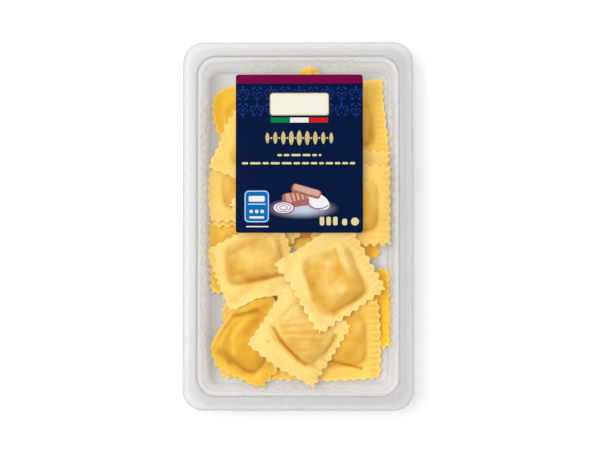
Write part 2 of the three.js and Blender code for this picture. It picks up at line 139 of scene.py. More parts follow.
# The ravioli, lowest first, placed as their solids are: x, y: middle. yaw: turn in degrees.
# wide, long: size in plan. skew: lean of the second axis. bow: fullness of the sides.
# hump_x, hump_y: place of the filling. The rest is finish: gold: 0 for pale dough to 1 for
# deep gold, partly the dough's own colour and partly painted warm shade, most on the pieces
# low in the heap. bright: factor on the colour, painted light, more for the dough that lies
# in shade deep in the heap. bulge: the filling as it looks, middle p, q, half sizes and turn
# in degrees. seam: strength of the colour round it, painted shade in the groove.
# teeth: factors on the teeth of the sides +p, -p, +q, -q. pulls: (p, q, reach, move in p, move
# in q), places where the dough is drawn out or in. lifts: (p, q, reach, rise), where it leans
# up a wall. ridges: depth of the cutter's ridges on the first side. wrinkles: (number,
# heading in degrees, depth). dimples: (p, q, reach, depth). folds: (p, q of one end, p, q of
# the other, half width, depth), a crest where the depth is negative. stains: the same for
# the colour, painted shade with a strength of the creases' colour in place of the depth. It
# levels off as it rises, and the dough is paler where it is negative, a painted highlight.
PIECES = (
    dict(x=-24, y=-70.2, yaw=-2, wide=49, long=48, gold=0.75,
         pulls=((0.35, 1, 0.35, 0, 0.24),), painted_shading=((0.1, 1.1, 0.6, 1.1, 0.15, 4),)),
    dict(x=32.5, y=-50.5, yaw=2, wide=49, long=50, bow=0.03, gold=1.0, painted_light=1.12,
         teeth=(0.35, 1, 1, 1)),
    dict(x=-32.6, y=-17.5, yaw=3, wide=47, long=46, gold=0.8),
    dict(x=-32.6, y=25, yaw=4, wide=47, long=48, gold=0.6, pulls=((-1, 1, 0.6, 0.3, -0.3),)),
    dict(x=32.5, y=36.5, yaw=0, wide=48.5, long=48, gold=0.6),
    dict(x=30, y=7, yaw=-10, wide=48, long=48, gold=0.9),
    dict(x=1, y=9.5, yaw=2, wide=47, long=47, gold=0.7),
    dict(x=-26.5, y=65, yaw=17, wide=47, long=47, bow=0.03, gold=0.95, painted_light=1.0,
         teeth=(1, 0.8, 0.3, 1),
         pulls=((-0.6, 1, 0.6, 0, 0.14), (-1, 1, 0.35, 0.05, -0.1), (-1, 0.3, 0.5, -0.07, 0))),
    dict(x=29.5, y=65, yaw=6, wide=49, long=49, gold=0.62, painted_light=1.08, teeth=(0.6, 1, 0.3, 1),
         painted_shading=((-0.1, -0.2, 0.2, 0.2, 0.4, 0.4),),
         pulls=((1, 1, 0.3, 0.07, 0.03), (0, 1, 1, 0, 0.03))),
    dict(x=6.5, y=65.3, yaw=45, wide=47, long=47, gold=0.7, painted_light=1.16, teeth=(0.5, 1, 0.5, 1),
         lifts=((1, 1, 0.45, 15),),
         pulls=((1, 1, 0.5, 0.04, 0.04), (1, 0.6, 0.25, 0.08, 0), (0.6, 1, 0.25, 0, 0.08))),
    dict(x=25, y=-69, yaw=2, wide=50, long=50, bow=0.03, gold=0.5, painted_light=1.04, ridges=0.16,
         groove_shade=0.4, teeth=(0.6, 1, 1, 0.6), folds=((-0.24, -0.5, 0.5, -0.71, 0.045, 0.8),),
         painted_shading=((-0.24, -0.5, 0.5, -0.71, 0.03, 0.9), (0.2, 0.7, 0.5, 0.6, 0.15, 0.4))),
    dict(x=-26, y=-69, yaw=-40, wide=42, long=47, skew=4, bow=0.06, gold=0.85, painted_light=0.98,
         groove_shade=0.5, bulge=(-0.1, -0.08, 0.66, 0.7, 0), teeth=(1, 0.1, 0.4, 0.9),
         pulls=((-0.4, -1, 0.55, 0, -0.2), (-1, -1, 0.3, 0.03, 0.06), (-0.38, 1, 0.3, 0, 0.08)),
         folds=((-0.67, -0.8, -0.27, -0.84, 0.1, 0.7), (-0.27, -0.84, 0.46, -0.7, 0.1, 0.9),
                (-0.9, 0.1, -0.46, 0.6, 0.06, 0.9), (-0.86, -0.55, -0.92, 0, 0.07, 0.4),
                (-0.34, 0, -0.3, 0.35, 0.12, 0.8), (-0.62, -0.3, -0.6, 0.2, 0.09, -0.6)),
         painted_shading=((-0.35, 0.75, -0.55, 0.48, 0.1, 0.8), (-0.55, 0.48, -0.84, 0.16, 0.05, 0.8),
                 (-0.84, 0.16, -0.9, -0.25, 0.07, 0.5), (-0.29, 0.4, -0.34, 0.02, 0.1, 0.5),
                 (-0.34, 0.02, -0.2, -0.3, 0.1, 0.4), (-0.67, -0.85, -0.23, -0.86, 0.08, 0.8),
                 (-0.23, -0.86, 0.25, -0.81, 0.09, 0.5), (0.25, -0.81, 0.69, -0.3, 0.08, 0.4),
                 (-0.62, 0.1, -0.57, -0.33, 0.07, -0.6), (-0.57, -0.33, -0.3, -0.6, 0.07, -0.5),
                 (-0.95, 0.1, -0.9, -0.8, 0.1, 0.35), (0.1, -0.45, 0.4, -0.2, 0.15, 0.25))),
    dict(x=-31, y=27.7, yaw=1, wide=49, long=49, gold=0.3, painted_light=1.05, teeth=(1, 0.6, 1, 1),
         painted_shading=((-0.2, 0, 0.2, 0, 0.4, 0.25),),
         pulls=((-1, 0, 0.8, -0.03, 0), (-1, 1, 0.5, 0.2, -0.4))),
    dict(x=33, y=23.5, yaw=0, wide=49, long=48, gold=0.2, painted_light=1.12),
    dict(x=-22, y=47.5, yaw=-27, wide=49, long=48, gold=0.4, teeth=(1, 0.8, 1, 0.7),
         pulls=((-1, -1, 0.4, -0.05, -0.07), (-1, 0.2, 0.6, -0.14, 0))),
    dict(x=-11.5, y=15, yaw=48, wide=46, long=46, gold=0.1, painted_light=1.14),
    dict(x=32.6, y=13, yaw=0, wide=50, long=50, gold=0.35, painted_light=1.04, teeth=(0.6, 1, 1, 1),
         painted_shading=((0, -0.2, 0, 0.2, 0.4, 0.2),)),
    dict(x=-29.4, y=-22, yaw=26, wide=48, long=40, skew=-3, hump_x=2, hump_y=3, gold=0.1,
         painted_light=1.04, groove_shade=0.3, bulge=(0.12, 0.05, 0.75, 0.65, -17), teeth=(0.6, 0.7, 0.7, 0.4),
         pulls=((0.4, -1, 0.45, 0, -0.27), (-0.7, -1, 0.5, 0, -0.09), (1, 0.1, 0.5, 0.13, 0)),
         folds=((-0.43, 0.05, -0.27, 0.47, 0.12, 0.4), (-0.2, -0.5, 0.64, -0.76, 0.07, 0.9),
                (0.82, 0.25, 0.8, -0.24, 0.1, 0.1), (-0.46, 0.5, 0, 0.56, 0.07, 0.3)),
         painted_shading=((-0.4, 0.6, -0.6, 0.1, 0.12, 0.3), (-0.52, -0.08, -0.29, -0.14, 0.08, 0.7),
                 (-0.24, -0.45, 0.2, -0.58, 0.12, 0.7), (0.2, -0.58, 0.64, -0.72, 0.08, 0.5),
                 (0.81, 0.3, 0.81, -0.3, 0.08, 0.3), (-0.3, 0.6, 0.4, 0.55, 0.1, 0.3),
                 (-0.1, 0.15, 0.5, 0.05, 0.25, -0.3), (-0.3, -0.15, 0.5, -0.4, 0.08, 0.15))),
    dict(x=1, y=-66, yaw=-33, wide=48, long=45, hump_x=2, gold=0.05, wrinkles=(6.4, 92, 0.2),
         painted_light=1.0, groove_shade=0.2, bulge=(0.03, 0.08, 0.74, 0.64, -12), teeth=(0.9, 0.5, 0.8, 0.85),
         pulls=((-1, -1, 0.3, -0.03, -0.03), (0, -1, 0.6, 0, -0.1), (1, -1, 0.3, 0.05, -0.04)),
         folds=((-0.68, -0.24, -0.36, -0.39, 0.06, 0.8), (-0.36, -0.39, 0.02, -0.51, 0.06, 0.8),
                (0.02, -0.51, 0.5, -0.58, 0.06, 0.7), (0.78, 0.0, 0.76, 0.5, 0.07, 0.4)),
         painted_shading=((-0.66, -0.22, -0.31, -0.42, 0.035, 1.2), (-0.31, -0.42, 0.3, -0.57, 0.04, 1.8),
                 (-0.5, -0.12, 0.45, -0.46, 0.12, 0.05), (0.4, -0.58, 0.72, -0.5, 0.06, 0.5),
                 (0.78, -0.2, 0.75, 0.5, 0.05, 0.5), (-0.08, -0.36, 0.51, 0.05, 0.03, 0.35),
                 (-0.17, -0.2, 0.35, 0.16, 0.03, 0.35), (-0.51, 0.11, 0.02, 0.47, 0.03, 0.3),
                 (-0.6, -0.62, -0.57, -0.6, 0.025, 0.6), (-0.3, 0.35, 0.1, 0.5, 0.18, -0.4))),
    dict(x=20.6, y=-30.5, yaw=34, wide=51, long=51, skew=-4, hump_x=3, hump_y=-2.7, gold=0.0,
         painted_light=1.02, groove_shade=0.4, bulge=(0.02, -0.04, 0.62, 0.72, -6), teeth=(0.9, 1, 0.3, 1),
         pulls=((-1, 1, 0.35, -0.1, 0.06),),
         dimples=((0.06, 0.32, 0.1, -0.5), (-0.12, -0.36, 0.2, -0.5), (0.2, 0.02, 0.16, 0.8),
                  (-0.3, 0.2, 0.14, 0.4)),
         folds=((-0.5, 0.45, -0.66, -0.2, 0.09, 0.6), (-0.4, -0.76, 0.5, -0.76, 0.07, 0.5),
                (0.44, 0.2, 0.42, -0.25, 0.08, -0.6), (0.42, 0.5, 0.22, 0.05, 0.08, 0.4)),
         painted_shading=((-0.37, 0.6, -0.48, 0.1, 0.09, 0.3), (-0.48, 0.1, -0.5, -0.45, 0.09, 0.4),
                 (-0.5, -0.5, -0.38, -0.68, 0.07, 0.3), (-0.4, -0.7, 0.3, -0.75, 0.06, 0.3),
                 (0.2, -0.72, 0.58, -0.66, 0.06, 0.4), (0.6, 0.3, 0.54, -0.5, 0.08, 0.15),
                 (0.46, 0.5, 0.4, 0, 0.06, -0.5), (-0.35, 0.5, -0.1, 0.3, 0.08, 0.3),
                 (0.15, -0.55, 0.4, -0.35, 0.14, 0.25), (-0.15, -0.3, 0.05, -0.33, 0.12, -0.45),
                 (-0.1, -0.1, 0.2, -0.05, 0.05, 0.2))),
)

GRID = 90  # cells along a side of a raviolo: ten for each tooth


# ---- Meshes from arrays


def mesh_object(name, points, faces, smooth=True):
    """An object with its place in its mesh. points are in millimetres, faces a list of arrays."""
    mesh = bpy.data.meshes.new(name)
    loops = [row for block in faces for row in block.tolist()]
    mesh.from_pydata((np.asarray(points, float) * MM).tolist(), [], loops)
    mesh.polygons.foreach_set("use_smooth", np.full(len(loops), smooth))
    mesh.update()
    piece = bpy.data.objects.new(name, mesh)
    bpy.context.scene.collection.objects.link(piece)
    return piece


def paint(piece, name, values):
    """Stores one number for each point of a piece as a named attribute."""
    layer = piece.data.attributes.new(name, "FLOAT", "POINT")
    layer.data.foreach_set("value", np.ascontiguousarray(values, np.float32).ravel())


def grid_quads(rows, columns, first=0):
    """Quads of a grid of rows x columns points numbered row by row, seen from above."""
    index = first + np.arange(rows * columns).reshape(rows, columns)
    corners = (index[:-1, :-1], index[1:, :-1], index[1:, 1:], index[:-1, 1:])
    return np.stack([c.ravel() for c in corners], 1)


def band(upper, lower):
    """Quads from one closed loop of point numbers to the next one down or further out."""
    return np.stack([upper, lower, np.roll(lower, -1), np.roll(upper, -1)], 1)


def ring_solid(rings, low, high):
    """Points and faces of a closed solid. rings is an array of rings x points x 3 that runs
    from low, a point under the solid, out along its underside and back over its top to high."""
    count, around = rings.shape[:2]
    points = np.concatenate([[low], rings.reshape(-1, 3), [high]])
    index = 1 + np.arange(count * around).reshape(count, around)
    faces = [band(index[k + 1], index[k]) for k in range(count - 1)]
    first, last = index[0], index[-1]
    faces.append(np.stack([np.zeros_like(first), np.roll(first, -1), first], 1))
    faces.append(np.stack([last, np.roll(last, -1), np.full_like(last, len(points) - 1)], 1))
    return points, faces


def joined(parts):
    """One set of points and faces from several."""
    points, faces, first = [], [], 0
    for some, blocks in parts:
        points.append(some)
        faces.extend(block + first for block in blocks)
        first += len(some)
    return np.concatenate(points), faces


def wave_field(x, y, seed, shortest, longest, count=16):
    """An uneven height of about -1 to 1: a sum of cosine waves with random headings and
    phases, their lengths between shortest and longest and the longer ones higher."""
    chance = np.random.default_rng(seed)
    length = np.exp(chance.uniform(math.log(shortest), math.log(longest), count))
    heading = chance.uniform(0, 2 * PI, count)
    phase = chance.uniform(0, 2 * PI, count)
    run = x[..., None] * np.cos(heading) + y[..., None] * np.sin(heading)
    high = length / longest
    waves = np.cos(2 * PI * run / length + phase) * high
    return waves.sum(-1) / math.sqrt((high**2).sum() * 2)


def smoothstep(low, high, value):
    """0 under low, 1 over high, and a smooth S between them. low may be over high."""
    share = np.clip((value - low) / (high - low), 0, 1)
    return share * share * (3 - 2 * share)


def bell(distance, reach):
    """1 at distance 0, fading to both sides: e to the power of minus the square of the
    distance measured in reaches."""
    return np.exp(-((distance / reach) ** 2))


def near_spot(p, q, at_p, at_q, reach):
    """The same fading round a spot of the unit square."""
    return np.exp(-((p - at_p) ** 2 + (q - at_q) ** 2) / reach**2)


# ---- Outlines


def outline_marks(long_side, short_side, corner_steps):
    """Marks round a rounded rectangle: the side each is on, how far along its straight part
    it is, from -1 to 1, and its angle in the corner that follows."""
    sides, along, arc = [], [], []
    for side, straight in enumerate((long_side, short_side, long_side, short_side)):
        corner = np.linspace(0, PI / 2, corner_steps, endpoint=False)
        sides.append(np.full(len(straight) + corner_steps, side))
        along.append(np.concatenate([straight, np.ones(corner_steps)]))
        arc.append(np.concatenate([np.zeros(len(straight)), corner]))
    return np.concatenate(sides), np.concatenate(along), np.concatenate(arc)


def rounded_outline(half_x, half_y, radius, marks, bulge=0.0):
    """x, y of a rounded rectangle at its marks: straight along each side, then a quarter of a
    circle. bulge moves a point outwards."""
    side, along, arc = marks
    upright = side % 2 == 0
    across = np.where(upright, half_x, half_y)
    length = np.where(upright, half_y, half_x)
    out = across - radius * (1 - np.cos(arc)) + bulge
    forward = (length - radius) * along + radius * np.sin(arc)
    turn = side * PI / 2
    x = np.cos(turn) * out - np.sin(turn) * forward
    y = np.sin(turn) * out + np.cos(turn) * forward
    return x, y


def even_marks(steps, corner_steps):
    """Marks with the same number of steps on each side."""
    straight = np.linspace(-1, 1, steps, endpoint=False)
    return outline_marks(straight, straight, corner_steps)


def softened(path, reaches, steps=4):
    """A section path with each bend rounded: a quadratic curve from reach before the bend to
    reach after it. Distances are measured in the first two columns."""
    here, before, after = path[1:-1], path[:-2], path[2:]
    reach = np.asarray(reaches, float)[:, None]

    def towards(other):
        gap = np.hypot(*(other - here)[:, :2].T)[:, None]
        return here + (other - here) * np.minimum(reach / gap, 0.45)

    t = np.linspace(0, 1, steps + 1)[None, :, None]
    first, last = towards(before)[:, None], towards(after)[:, None]
    bends = (1 - t) ** 2 * first + 2 * t * (1 - t) * here[:, None] + t**2 * last
    return np.concatenate([path[:1], bends.reshape(-1, path.shape[1]), path[-1:]])


# ---- Tray


def fluted_marks():
    """Marks round the tray with ten to each flute, and the flutes' bulge at each mark: a half
    wave that is 0 between two flutes and 1 on a flute."""
    radius = 8.0
    plain_steps, flute_steps, corner_steps = 5, 10, 14
    straights, bulges = [], []
    for length, count in ((TRAY_LONG, FLUTES_LONG_SIDE), (TRAY_WIDE, FLUTES_SHORT_SIDE)):
        half = length / 2 - WALL_INSET - radius
        fluted = count * FLUTE_PITCH / 2
        plain = np.linspace(-half, -fluted, plain_steps, endpoint=False)
        flutes = np.linspace(-fluted, fluted, count * flute_steps, endpoint=False)
        spots = np.concatenate([plain, flutes, -plain[::-1] - (plain[1] - plain[0])])
        wave = np.abs(np.sin(PI * (spots / FLUTE_PITCH + count / 2)))
        straights.append(spots / half)
        bulges.append(np.concatenate([wave * (np.abs(spots) <= fluted), np.zeros(corner_steps)]))
    return outline_marks(*straights, corner_steps), np.concatenate(bulges * 2)


def tray_shell():
    """The tray as a thin shell: its section, given as inset from the outer edge, height,
    corner radius and depth of the flutes, is carried round the rounded rectangle. Two more
    columns give the painted grey and the haze of its points. The grey is painted shade: it
    is none on the walls, more on the floor and rim, and most at the outer edge and at bends
    under the rim, for the dark lines that clear plastic shows there, and less on the lip, a
    painted highlight. The haze is how much the sheet hides, least on the stretched walls."""
    top = RIM_HEIGHT
    # Each row: inset, height, corner radius, flute depth, painted grey and haze. The grey is
    # painted shade, lowered on the lip for a painted highlight.
    under = np.array([
        (15.3, 0.0, 5.8, 0.0, 0.3, 0.6),
        (14.6, 0.15, 6.2, 0.0, 0.2, 0.55),
        (12.3, 3.1, 8.6, 0.8, 0.0, 0.35),
        (11.9, 20.0, 8.6, 1.0, 0.0, 0.22),
        (11.5, top - 2.7, 8.6, 1.1, 0.3, 0.3),
        (9.8, top - 2.2, 9.2, 0.0, 0.52, 0.4),
        (8.6, top - 2.2, 11.0, 0.0, 0.76, 0.5),
        (7.8, top - 0.6, 12.0, 0.0, 0.62, 0.5),
        (2.1, top - 0.6, 10.9, 0.0, 0.4, 0.3),
        (0.8, top - 3.0, 11.7, 0.0, 0.68, 0.4),
    ])
    over = np.array([
        (0.0, top - 3.0, OUTER_RADIUS, 0.0, 0.76, 0.6),
        (0.3, top - 1.0, 12.1, 0.0, 0.44, 0.35),
        (1.8, top - 0.12, 10.9, 0.0, 0.4, 0.4),
        (3.2, top - 0.05, 11.0, 0.0, 0.6, 0.4),
        (6.6, top, 12.0, 0.0, 0.61, 0.5),
        (8.4, top, 12.0, 0.0, 0.58, 0.5),
        (8.8, top - 0.9, 11.5, 0.0, 0.55, 0.5),
        (9.2, top - 1.6, 11.0, 0.0, 0.48, 0.45),
        (10.4, top - 1.6, 8.6, 0.0, 0.49, 0.4),
        (11.3, top - 1.7, 8.2, 0.6, 0.46, 0.4),
        (12.1, top - 2.2, 8.0, 1.1, 0.35, 0.4),
        (12.2, top - 7.0, 8.0, 1.1, 0.1, 0.25),
        (12.5, 20.0, 8.0, 1.0, 0.0, 0.22),
        (12.9, 3.1, 8.0, 0.8, 0.0, 0.35),
        (14.9, 0.75, 6.0, 0.0, 0.4, 0.55),
        (15.6, 0.6, 5.5, 0.0, 0.45, 0.6),
    ])
    path = np.concatenate([under, over])
    reaches = [0.4, 1.2, 4, 0.6, 0.6, 0.5, 0.5, 0.6, 0.25]
    reaches += [0.25, 0.6, 0.6, 1.2, 0.6, 0.4, 0.3, 0.5, 0.4, 0.4, 0.4, 1.5, 4, 1.2, 0.5]
    section = softened(path, reaches)
    inset, height, radius, flute, painted_grey, haze = (column[:, None] for column in section.T)
    marks, bulge = fluted_marks()
    x, y = rounded_outline(
        TRAY_WIDE / 2 - inset, TRAY_LONG / 2 - inset, radius, marks, flute * bulge
    )
    rings = np.stack([x, y, np.broadcast_to(height, x.shape)], 2)
    looks = []
    for column in (painted_grey, haze):
        around = np.broadcast_to(column, x.shape).ravel()
        looks.append(np.concatenate([around[:1], around, around[-1:]]))
    return ring_solid(rings, (0, 0, 0), (0, 0, WALL)), *looks


# ---- Film and label


def sheet_solid(half_x, half_y, radius, low, high, marks, rings, lift=None):
    """A thin sheet with round corners: rings of its outline drawn in towards the middle.
    lift(x, y) adds to the height of both faces."""
    x, y = rounded_outline(half_x, half_y, radius, marks)
    shares = np.linspace(0, 1, rings + 1)[1:, None]

    def level(height):
        flat = np.stack([x * shares, y * shares, np.full((rings, len(x)), height)], 2)
        if lift is not None:
            flat[..., 2] += lift(flat[..., 0], flat[..., 1])
        return flat

    middle = 0.0 if lift is None else float(lift(np.zeros(1), np.zeros(1))[0])
    path = np.concatenate([level(low), level(high)[::-1]])
    return ring_solid(path, (0, 0, low + middle), (0, 0, high + middle))


def film_lift(x, y):
    """The film's slack, never over its seal: shallow waves inside the rim, flat under the
    label, where the label stiffens it, and flat on the rim."""
    inner = smoothstep(58, 48, np.abs(x)) * smoothstep(99, 88, np.abs(y))
    beside = np.maximum(np.abs(x - LABEL_X) - LABEL_WIDE / 2, np.abs(y - LABEL_Y) - LABEL_LONG / 2)
    free = smoothstep(2, 14, beside)
    waves = 0.5 + 0.5 * np.clip(wave_field(x, y, 5, 18, 60), -1, 1)
    return -FILM_SLACK * inner * free * waves


# ---- Ravioli


def rounded_reach(p, q, power):
    """Distance from the middle in which a rounded square of that power is at 1."""
    return (np.abs(p) ** power + np.abs(q) ** power) ** (1 / power)


def square_reach(p, q):
    """Distance from the middle in which the unit square is at 1."""
    return np.maximum(np.abs(p), np.abs(q))


def border_reach(p, q):
    """The same for the outline of the border."""
    return rounded_reach(p, q, BORDER_SQUARENESS)


def hump_reach(p, q):
    """The same for the outline of the filling."""
    return rounded_reach(p, q, HUMP_SQUARENESS)


def bulge_distance(piece, p, q):
    """Distance from the middle of the filling as it looks, 1 at its foot: the piece's own
    turned and stretched rounded square, or that of its solid."""
    middle_p, middle_q, share = hump_of(piece)
    default = (middle_p, middle_q, share, share, 0)
    middle_p, middle_q, half_p, half_q, turn = piece.get("bulge", default)
    angle = math.radians(turn)
    across, up = p - middle_p, q - middle_q
    first = (across * math.cos(angle) + up * math.sin(angle)) / half_p
    second = (up * math.cos(angle) - across * math.sin(angle)) / half_q
    return rounded_reach(first, second, BULGE_SQUARENESS)


def past_core(p, q):
    """0 on the flat core of a piece, rising to 1 at its edge."""
    return np.maximum(0, square_reach(p, q) - CORE_SHARE) / (1 - CORE_SHARE)


def square_ring(count, share, reach, middle=(0.0, 0.0)):
    """p, q of a ring of points as the solids have them."""
    at = 4 * np.arange(count) / count
    along = 2 * (at % 1) - 1
    turn = np.floor(at) * PI / 2
    p = np.cos(turn) - np.sin(turn) * along
    q = np.sin(turn) + np.cos(turn) * along
    scale = share / reach(p, q)
    return middle[0] + scale * p, middle[1] + scale * q


def hump_of(piece):
    """Middle of the filling and its share of the half side, in the piece's unit square."""
    return (
        2 * piece.get("hump_x", 0) / piece["wide"],
        2 * piece.get("hump_y", 0) / piece["long"],
        4 * HUMP_HALF / (piece["wide"] + piece["long"]),
    )


def hump_distance(piece, p, q):
    """Distance from the middle of the filling, 1 at its foot."""
    middle_p, middle_q, share = hump_of(piece)
    return hump_reach(p - middle_p, q - middle_q) / share


def solid_thickness(piece, p, q):
    """Thickness of the piece's solid over its underside."""
    rise = np.maximum(0, 1 - hump_distance(piece, p, q) ** HUMP_FULLNESS)
    return BORDER_THICK - BORDER_PINCH * past_core(p, q) + HUMP_HIGH * rise


def spread_out(piece, p, q):
    """x, y of a point of the unit square: scaled with bowed sides, slanted, turned and moved
    to its place."""
    yaw = math.radians(piece["yaw"])
    slant = math.radians(piece["yaw"] + piece.get("skew", 0))
    bow = piece.get("bow", 0)
    along = p * (1 + bow * (1 - q * q)) * piece["wide"] / 2
    across = q * (1 + bow * (1 - p * p)) * piece["long"] / 2
    x = piece["x"] + math.cos(yaw) * along - math.sin(slant) * across
    y = piece["y"] + math.sin(yaw) * along + math.cos(slant) * across
    return x, y


def in_plan(piece, p, q):
    """x, y of a point of the unit square, stopping short of the tray's walls."""
    x, y = spread_out(piece, p, q)
    stop = WALL_INSET + WALL_DRAFT + WALL_GAP
    x = np.clip(x, stop - TRAY_WIDE / 2, TRAY_WIDE / 2 - stop)
    return x, np.clip(y, stop - TRAY_LONG / 2, TRAY_LONG / 2 - stop)


def solid_points(node):
    """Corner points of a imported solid, in millimetres."""
    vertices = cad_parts[node].data.vertices
    flat = np.zeros(3 * len(vertices), np.float32)
    vertices.foreach_get("co", flat)
    return np.unique(np.round(flat.reshape(-1, 3).astype(float) / MM, 3), axis=0)


def solid_samples(piece, node):
    """p, q and height of the underside at each ring point of the piece's solid. A point on
    its top gives its height less the thickness there."""
    groups = [(np.zeros(1), np.zeros(1), -1)]
    groups += [(*square_ring(count, share, border_reach), -1) for count, share in UNDER_RINGS]
    p, q = square_ring(TEETH * 8, 1, square_reach)
    notch = np.where(np.arange(TEETH * 8) % 2 == 0, 0, TOOTH_SHARE)
    clip = CORNER_CLIP * np.minimum(np.abs(p), np.abs(q)) ** BORDER_SQUARENESS
    groups.append((p * (1 - notch - clip), q * (1 - notch - clip), 0))
    middle_p, middle_q, hump = hump_of(piece)
    groups.append((*square_ring(TEETH * 4, TOOTH_ROOT_SHARE, border_reach), 1))
    for count, share in HUMP_RINGS:
        groups.append((*square_ring(count, share * hump, hump_reach, (middle_p, middle_q)), 1))
    groups.append((np.full(1, middle_p), np.full(1, middle_q), 1))
    corners = solid_points(node)
    found = []
    for p, q, face in groups:
        x, y = in_plan(piece, p, q)
        gap = np.hypot(corners[None, :, 0] - x[:, None], corners[None, :, 1] - y[:, None])
        near = gap < 0.02
        high = np.where(near, corners[None, :, 2], -np.inf).max(1)
        low = np.where(near, corners[None, :, 2], np.inf).min(1)
        height = {-1: low, 0: low - EDGE_THICK, 1: high - solid_thickness(piece, p, q)}[face]
        found.append(np.stack([p, q, height], 1)[near.any(1)])
    return np.concatenate(found)


def spline_through(samples, p, q, slack=0.0004):
    """A thin plate spline: the smoothest sheet through the samples, a sum of one bump of the
    form r squared times log r for each sample and a flat slope. slack lets it pass by them."""

    def bumps(ap, aq, bp, bq):
        square = (ap[:, None] - bp[None]) ** 2 + (aq[:, None] - bq[None]) ** 2
        return 0.5 * square * np.log(square + 1e-12)

    sp, sq, height = samples.T
    count = len(samples)
    flat = np.stack([np.ones(count), sp, sq], 1)
    system = np.zeros((count + 3, count + 3))
    system[:count, :count] = bumps(sp, sq, sp, sq) + slack * np.eye(count)
    system[:count, count:] = flat
    system[count:, :count] = flat.T
    weights = np.linalg.solve(system, np.concatenate([height, np.zeros(3)]))
    fp, fq = p.ravel(), q.ravel()
    sheet = bumps(fp, fq, sp, sq) @ weights[:count]
    slope = weights[count] + weights[count + 1] * fp + weights[count + 2] * fq
    return (sheet + slope).reshape(p.shape)


def toothed_square(piece, seed):
    """p, q of a grid over the unit square, whose corners are clipped and whose outline is
    pulled out of true, and the same drawn in between the teeth: by half a wave for each
    tooth, a little uneven."""
    line = np.linspace(-1, 1, GRID + 1)
    p, q = np.meshgrid(line, line, indexing="ij")
    factors = np.reshape(piece.get("teeth", (1, 1, 1, 1)), (2, 2))
    notches = []
    for number, (out, along) in enumerate(((p, q), (q, p))):
        side = np.where(out < 0, 0.0, DRAWN_ACROSS)
        jitter = wave_field(along * DRAWN_ALONG, side, seed * 7 + number, 8, 30)
        wave = 0.5 - 0.5 * np.cos(PI * TEETH * (along + 1) + 0.5 * jitter)
        depth = np.clip(TOOTH_SHARE * (1 + TOOTH_UNEVEN * jitter), *TOOTH_LIMITS)
        depth *= np.where(out < 0, factors[number][1], factors[number][0])
        depth *= 1 - CORNER_TOOTH_LOSS * smoothstep(0.84, 0.97, np.abs(along))
        notches.append(depth * wave * smoothstep(0.78, 1.0, np.abs(out)))
    corner = np.minimum(np.abs(p), np.abs(q)) ** BORDER_SQUARENESS
    clip = 1 - CLIP_FACTOR * CORNER_CLIP * corner
    move_p, move_q = np.zeros_like(p), np.zeros_like(q)
    for at_p, at_q, reach, pull_p, pull_q in piece.get("pulls", ()):
        near = near_spot(p, q, at_p, at_q, reach)
        move_p, move_q = move_p + pull_p * near, move_q + pull_q * near
    even = p * clip + move_p, q * clip + move_q
    return even, (even[0] - p * notches[0], even[1] - q * notches[1])


def cutter_ridges(p, q):
    """Ridges that the toothed wheel leaves across the first border."""
    return np.cos(PI * RIDGES * (q + 1)) * smoothstep(0.6, 0.85, p) * smoothstep(1, 0.9, q)


def from_segment(p, q, ends):
    """Distance in the unit square from the straight line between two ends."""
    start, end = np.array(ends[:2]), np.array(ends[2:])
    span = end - start
    share = ((p - start[0]) * span[0] + (q - start[1]) * span[1]) / (span @ span)
    share = np.clip(share, 0, 1)
    return np.hypot(p - start[0] - share * span[0], q - start[1] - share * span[1])


def hollows(height, reach):
    """How far each point of a grid lies under the mean height of the square of points round
    it, reach points to each side: the sum over the square, from sums over all that lies
    before each corner, divided by the number of points in it."""
    size = 2 * reach + 1
    sums = np.pad(np.pad(height, reach, mode="edge").cumsum(0).cumsum(1), ((1, 0), (1, 0)))
    square = sums[size:, size:] - sums[:-size, size:] - sums[size:, :-size] + sums[:-size, :-size]
    return square / size**2 - height


